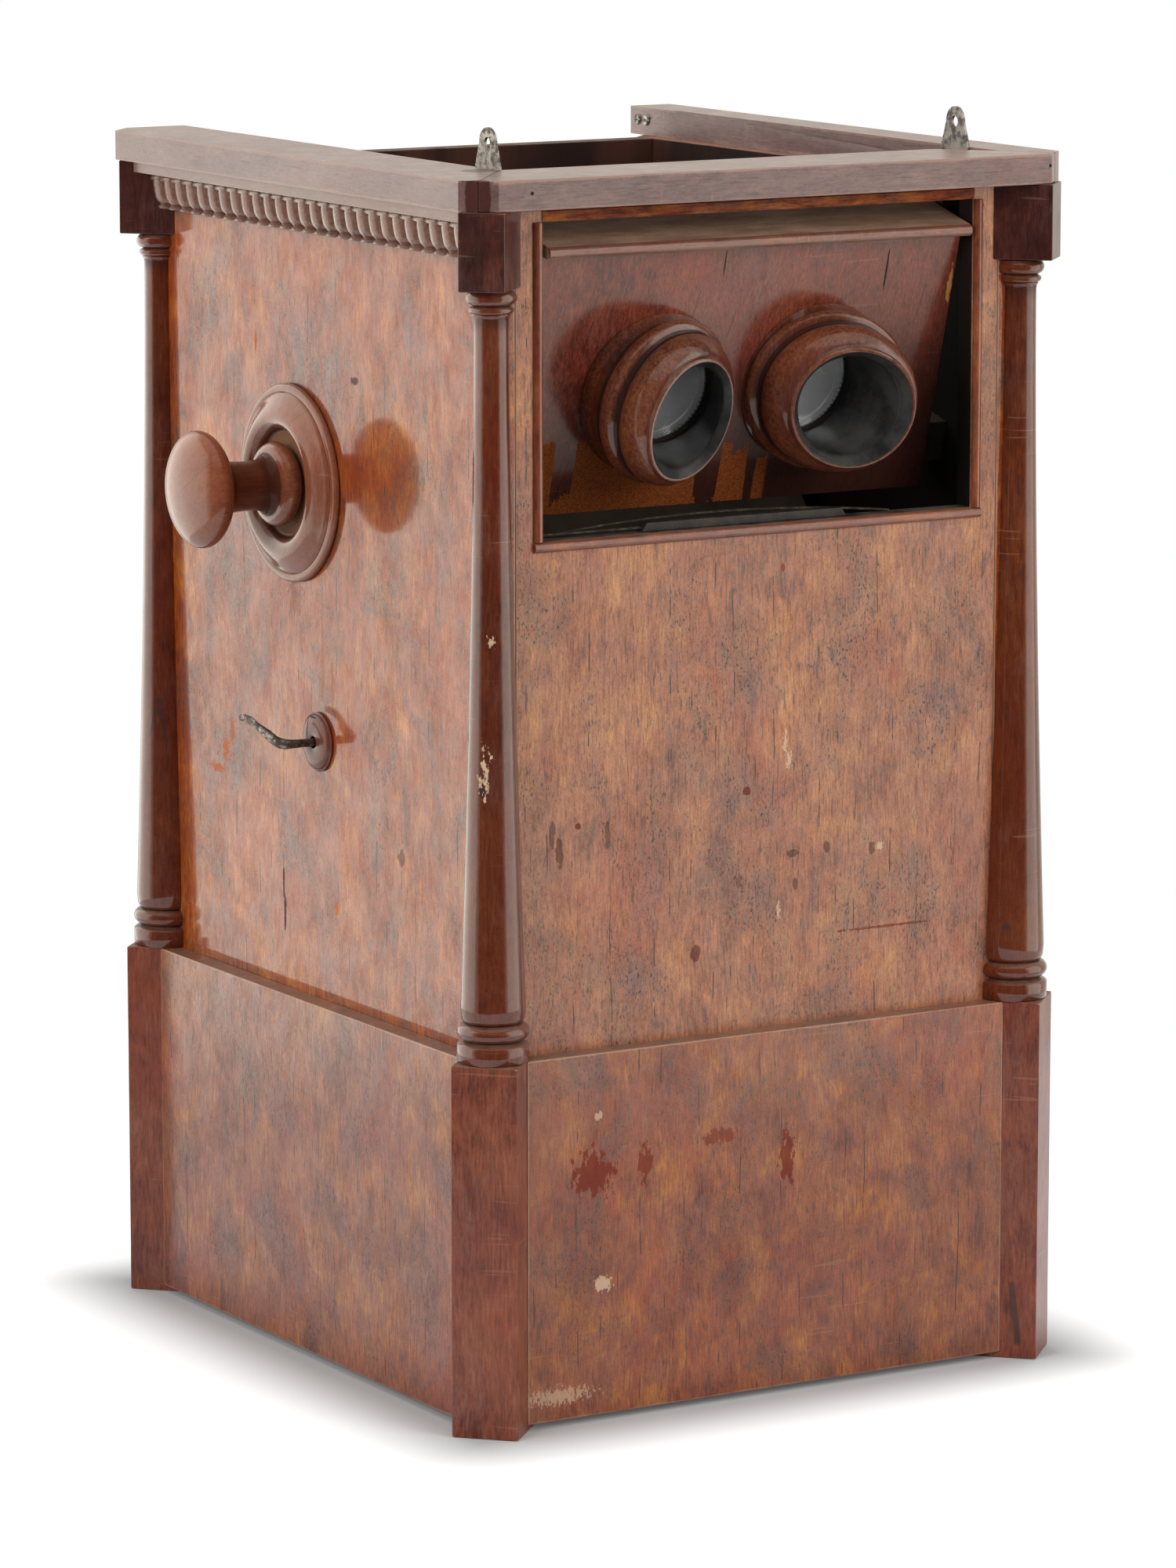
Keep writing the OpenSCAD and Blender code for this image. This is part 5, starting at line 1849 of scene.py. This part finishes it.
@dataclass
class CardStop:
    """The bent lever on the left side with its escutcheon, and its finger inside.

    Attributes:
        bench: Where the pieces are made.
        wall: X of the case's outer face in mm.
        shaft: Y and Z of the lever's shaft in mm.
    """

    bench: Bench
    wall: float = HALF_WIDTH
    shaft: tuple[float, float] = (2.0, 243.0)

    def lever(self) -> Piece:
        """Draws the lever's rod out through the wall, round its elbow and back to its flat tip.

        Returns:
            The lever.
        """
        y, z = self.shaft
        path = ((-95, 0, 0, 1.6, 0), (-124, 0, 0, 1.6, 0), (-128, 0.2, 0, 1.7, -8),
                (-130.6, 1.2, 0, 2.0, -32), (-132.0, 3.4, 0.2, 2.1, -58),
                (-132.6, 6.5, 0.9, 2.0, -76), (-133.2, 11, 2.6, 1.9, -80),
                (-134.0, 16, 4.8, 1.7, -80), (-134.8, 21, 6.6, 1.7, -80),
                (-135.6, 25.6, 7.2, 1.5, -80), (-136.2, 28.8, 6.9, 1.2, -80),
                (-136.5, 30.0, 6.7, 0.6, -80))
        rings = [Ring((x, y + back, z + up), r, turn) for x, back, up, r, turn in path]
        lever = self.bench.drawn("stop_lever_bent", rings, (0, 90, 0), "Z", 20)
        self.bench.edit(select=False)
        bpy.ops.object.mode_set(mode="OBJECT")
        for vert in lever.data.vertices:
            vert.select = vert.co.y > (y + 14) * MM
        bpy.ops.object.mode_set(mode="EDIT")
        bpy.ops.transform.resize(value=(0.45, 1, 1),
                                 center_override=Vector((-135, y + 20, z + 5)) * MM)
        bpy.ops.object.mode_set(mode="OBJECT")
        return lever

    def build(self) -> None:
        """Builds and dresses the card stop."""
        bench, (y, z) = self.bench, self.shaft
        lever = self.lever()
        bench.paint(lever, DARK_STEEL.build("lever_finish"))
        bench.fit(lever, Body.CARD_STOP, "old_steel", "stop_lever")
        outline = [(2.4, 0), (11.0, 0), (11.5, 0.5), (11.5, 1.0), (11.0, 1.5)]
        outline += [(5 + 5.6 * math.cos(a), 1.3 + 1.8 * math.sin(a))
                    for a in (math.pi / 2 * k / 8 for k in range(9))]
        outline += [(3.0, 3.1), (2.4, 2.8)]
        plate = bench.turned("lever_escutcheon_turned", outline, (-self.wall, y, z), (-1, 0, 0))
        bench.dress_wood(plate, ESCUTCHEON_WOOD, edges=False, shade_hollows=True)
        bench.fit(plate, Body.CASE, "escutcheon_wood", "lever_escutcheon")
        bench.dress_nodes(["lever_bush", "stop_collar"], BRASS)
        bench.dress_nodes(["stop_finger"], STEEL)


@dataclass
class Studio:
    """The floor, the lamps, the white surround and the camera.

    Attributes:
        eye: Where the camera stands.
        azimuth: Its heading, from +Y towards +X, in degrees.
        dip: How far it looks down, in degrees.
        lens: Its focal length in mm, on a 36 mm long side.
        ambient: How strongly the surround lights the object.
        left_window: The left window's heading and half width in degrees, how soft its edges are,
            and how much brighter than white it mirrors.
        right_window: The right window's.
        unlit: The unlit side's heading, half width and softness, and how dark it is.
        radius: Radius of the table top in metres.
        paper: How pale the table top is as a colour.
        foot: Half the plinth's width and depth, which the table's painted shade follows.
        shade: Where the painted shade around the plinth starts and ends, in metres from it.
        table_glow: How much whiter the table looks than it is lit.
        middle: Height that the lamps face, in metres.
    """

    eye: tuple[float, float, float] = (-1.3475, -2.2654, 0.677)
    azimuth: float = 30.8
    dip: float = 9.915
    lens: float = 155.5
    ambient: float = 0.5
    left_window: tuple[float, float, float, float] = (130, 42, 0.06, 1.75)
    right_window: tuple[float, float, float, float] = (320, 27, 0.03, 1.9)
    unlit: tuple[float, float, float, float] = (234, 51, 0.07, 0.94)
    radius: float = 0.62
    paper: float = 0.44
    foot: tuple[float, float] = (0.13, 0.145)
    shade: tuple[float, float] = (-0.012, 0.055)
    table_glow: float = 0.78
    middle: float = 0.25

    def camera(self) -> None:
        """Adds the camera."""
        a, d = math.radians(self.azimuth), math.radians(self.dip)
        ahead = Vector((math.sin(a) * math.cos(d), math.cos(a) * math.cos(d), -math.sin(d)))
        data = bpy.data.cameras.new("camera")
        data.lens = self.lens
        data.sensor_width = 36
        camera = bpy.data.objects.new("camera", data)
        camera.location = self.eye
        camera.rotation_euler = ahead.to_track_quat("-Z", "Y").to_euler()
        bpy.context.scene.collection.objects.link(camera)
        bpy.context.scene.camera = camera

    def room(self, g: Graph) -> Value:
        """Maps the room that polished wood mirrors: white, with two windows and an unlit side.

        Args:
            g: The world's graph.

        Returns:
            How bright the room is each way.
        """
        x, y, z = g.split(g.fed("ShaderNodeTexCoord", "Generated"))
        flat = g.vector("NORMALIZE", g.join(x, y, 0.0))
        level = 1.0 - g.step(abs(z), 0.62, 0.8)

        def facing(heading: float, half: float, soft: float, strength: float) -> Value:
            """Marks out the headings around one heading.

            Args:
                heading: The heading in degrees.
                half: Half the width in degrees.
                soft: How soft the edges are.
                strength: The value inside.

            Returns:
                The value each way.
            """
            angle, edge = math.radians(heading), math.cos(math.radians(half))
            along = g.fed("ShaderNodeVectorMath", "Value", flat,
                          (math.cos(angle), math.sin(angle), 0), operation="DOT_PRODUCT")
            return g.step(along, edge - soft, edge + soft) * level * strength

        windows = facing(*self.left_window) + facing(*self.right_window)
        return (windows + 1.0) * (1.0 - facing(*self.unlit))

    def surround(self) -> None:
        """Makes the world white to look at, a room to mirror and softer as a light."""
        world = bpy.data.worlds.new("surround")
        world.use_nodes = True
        bpy.context.scene.world = world
        g = Graph(world.node_tree)
        clear = g.most(g.ray("Camera"), g.ray("Transmission"))
        mirrored = g.ray("Glossy") * (1.0 - clear)
        strength = self.ambient + clear * (1.0 - self.ambient)
        room = mirrored * (self.room(g) - self.ambient)
        back = g.add("ShaderNodeBackground")
        g.feed(back.inputs["Color"], g.mix(mirrored, rgb(1, 1, 1), rgb(1.0, 0.965, 0.87)))
        g.feed(back.inputs["Strength"], strength + room)
        g.tree.links.new(back.outputs[0], g.add("ShaderNodeOutputWorld").inputs["Surface"])

    def floor(self) -> None:
        """Lays a round white table top, with painted shade round the plinth."""
        bpy.ops.object.select_all(action="DESELECT")
        bpy.ops.mesh.primitive_circle_add(vertices=128, radius=self.radius, fill_type="NGON")
        table = bpy.context.object
        table.name = "table_top"
        shading = Shading("table_paper")
        g = shading.graph
        seen = g.most(g.ray("Camera"), g.ray("Glossy"))
        x, y, _ = g.split(g.vector("ABSOLUTE", shading.place))
        beside = g.join(g.most(x - self.foot[0], 0.0), g.most(y - self.foot[1], 0.0), 0.0)
        # Painted shadow: the glow that whitens the table fades out near the plinth, leaving a band
        # of grey paper round it
        glow = g.step(g.length(beside), *self.shade) * self.table_glow
        shading.set(Base_Color=rgb(self.paper, self.paper, self.paper), Roughness=0.9,
                    Specular_IOR_Level=0.0, Emission_Color=rgb(1, 1, 1),
                    Emission_Strength=seen * glow)
        Bench.paint(table, shading.material)

    def lamp(self, name: str, at: tuple[float, float, float], size: tuple[float, float],
             power: float) -> None:
        """Hangs a soft rectangular lamp that faces the object.

        Args:
            name: The lamp's name.
            at: Where it hangs, in metres.
            size: Its width and height in metres.
            power: Its power in watts.
        """
        data = bpy.data.lights.new(name, "AREA")
        data.shape = "RECTANGLE"
        data.size, data.size_y = size
        data.energy = power
        lamp = bpy.data.objects.new(name, data)
        lamp.location = at
        ahead = Vector((0, 0, self.middle)) - Vector(at)
        lamp.rotation_euler = ahead.to_track_quat("-Z", "Y").to_euler()
        lamp.visible_camera = lamp.visible_glossy = False
        bpy.context.scene.collection.objects.link(lamp)

    def build(self) -> None:
        """Sets the whole studio up."""
        bpy.context.scene.view_settings.view_transform = "Standard"
        self.camera()
        self.surround()
        self.floor()
        self.lamp("lamp_left", (-2.2, -0.9, 1.2), (1.2, 1.2), 30)
        self.lamp("lamp_front", (0.9, -2.3, 1.2), (1.2, 1.2), 26)
        self.lamp("lamp_above", (0.1, 0.2, 2.4), (1.2, 1.2), 22)


def main() -> None:
    """Loads the frame, then builds and dresses every sub-assembly in order."""
    logging.basicConfig(level=logging.INFO, format="%(name)s: %(message)s")
    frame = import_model()
    bench = Bench(frame["nodes"])
    Studio().build()
    for part in (Case, Columns, Cornice, Cap, Opening, LensBoard, Carousel, CardStop):
        LOG.info("building %s", part.__name__)
        part(bench).build()
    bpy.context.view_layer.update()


if __name__ == "__main__":
    main()
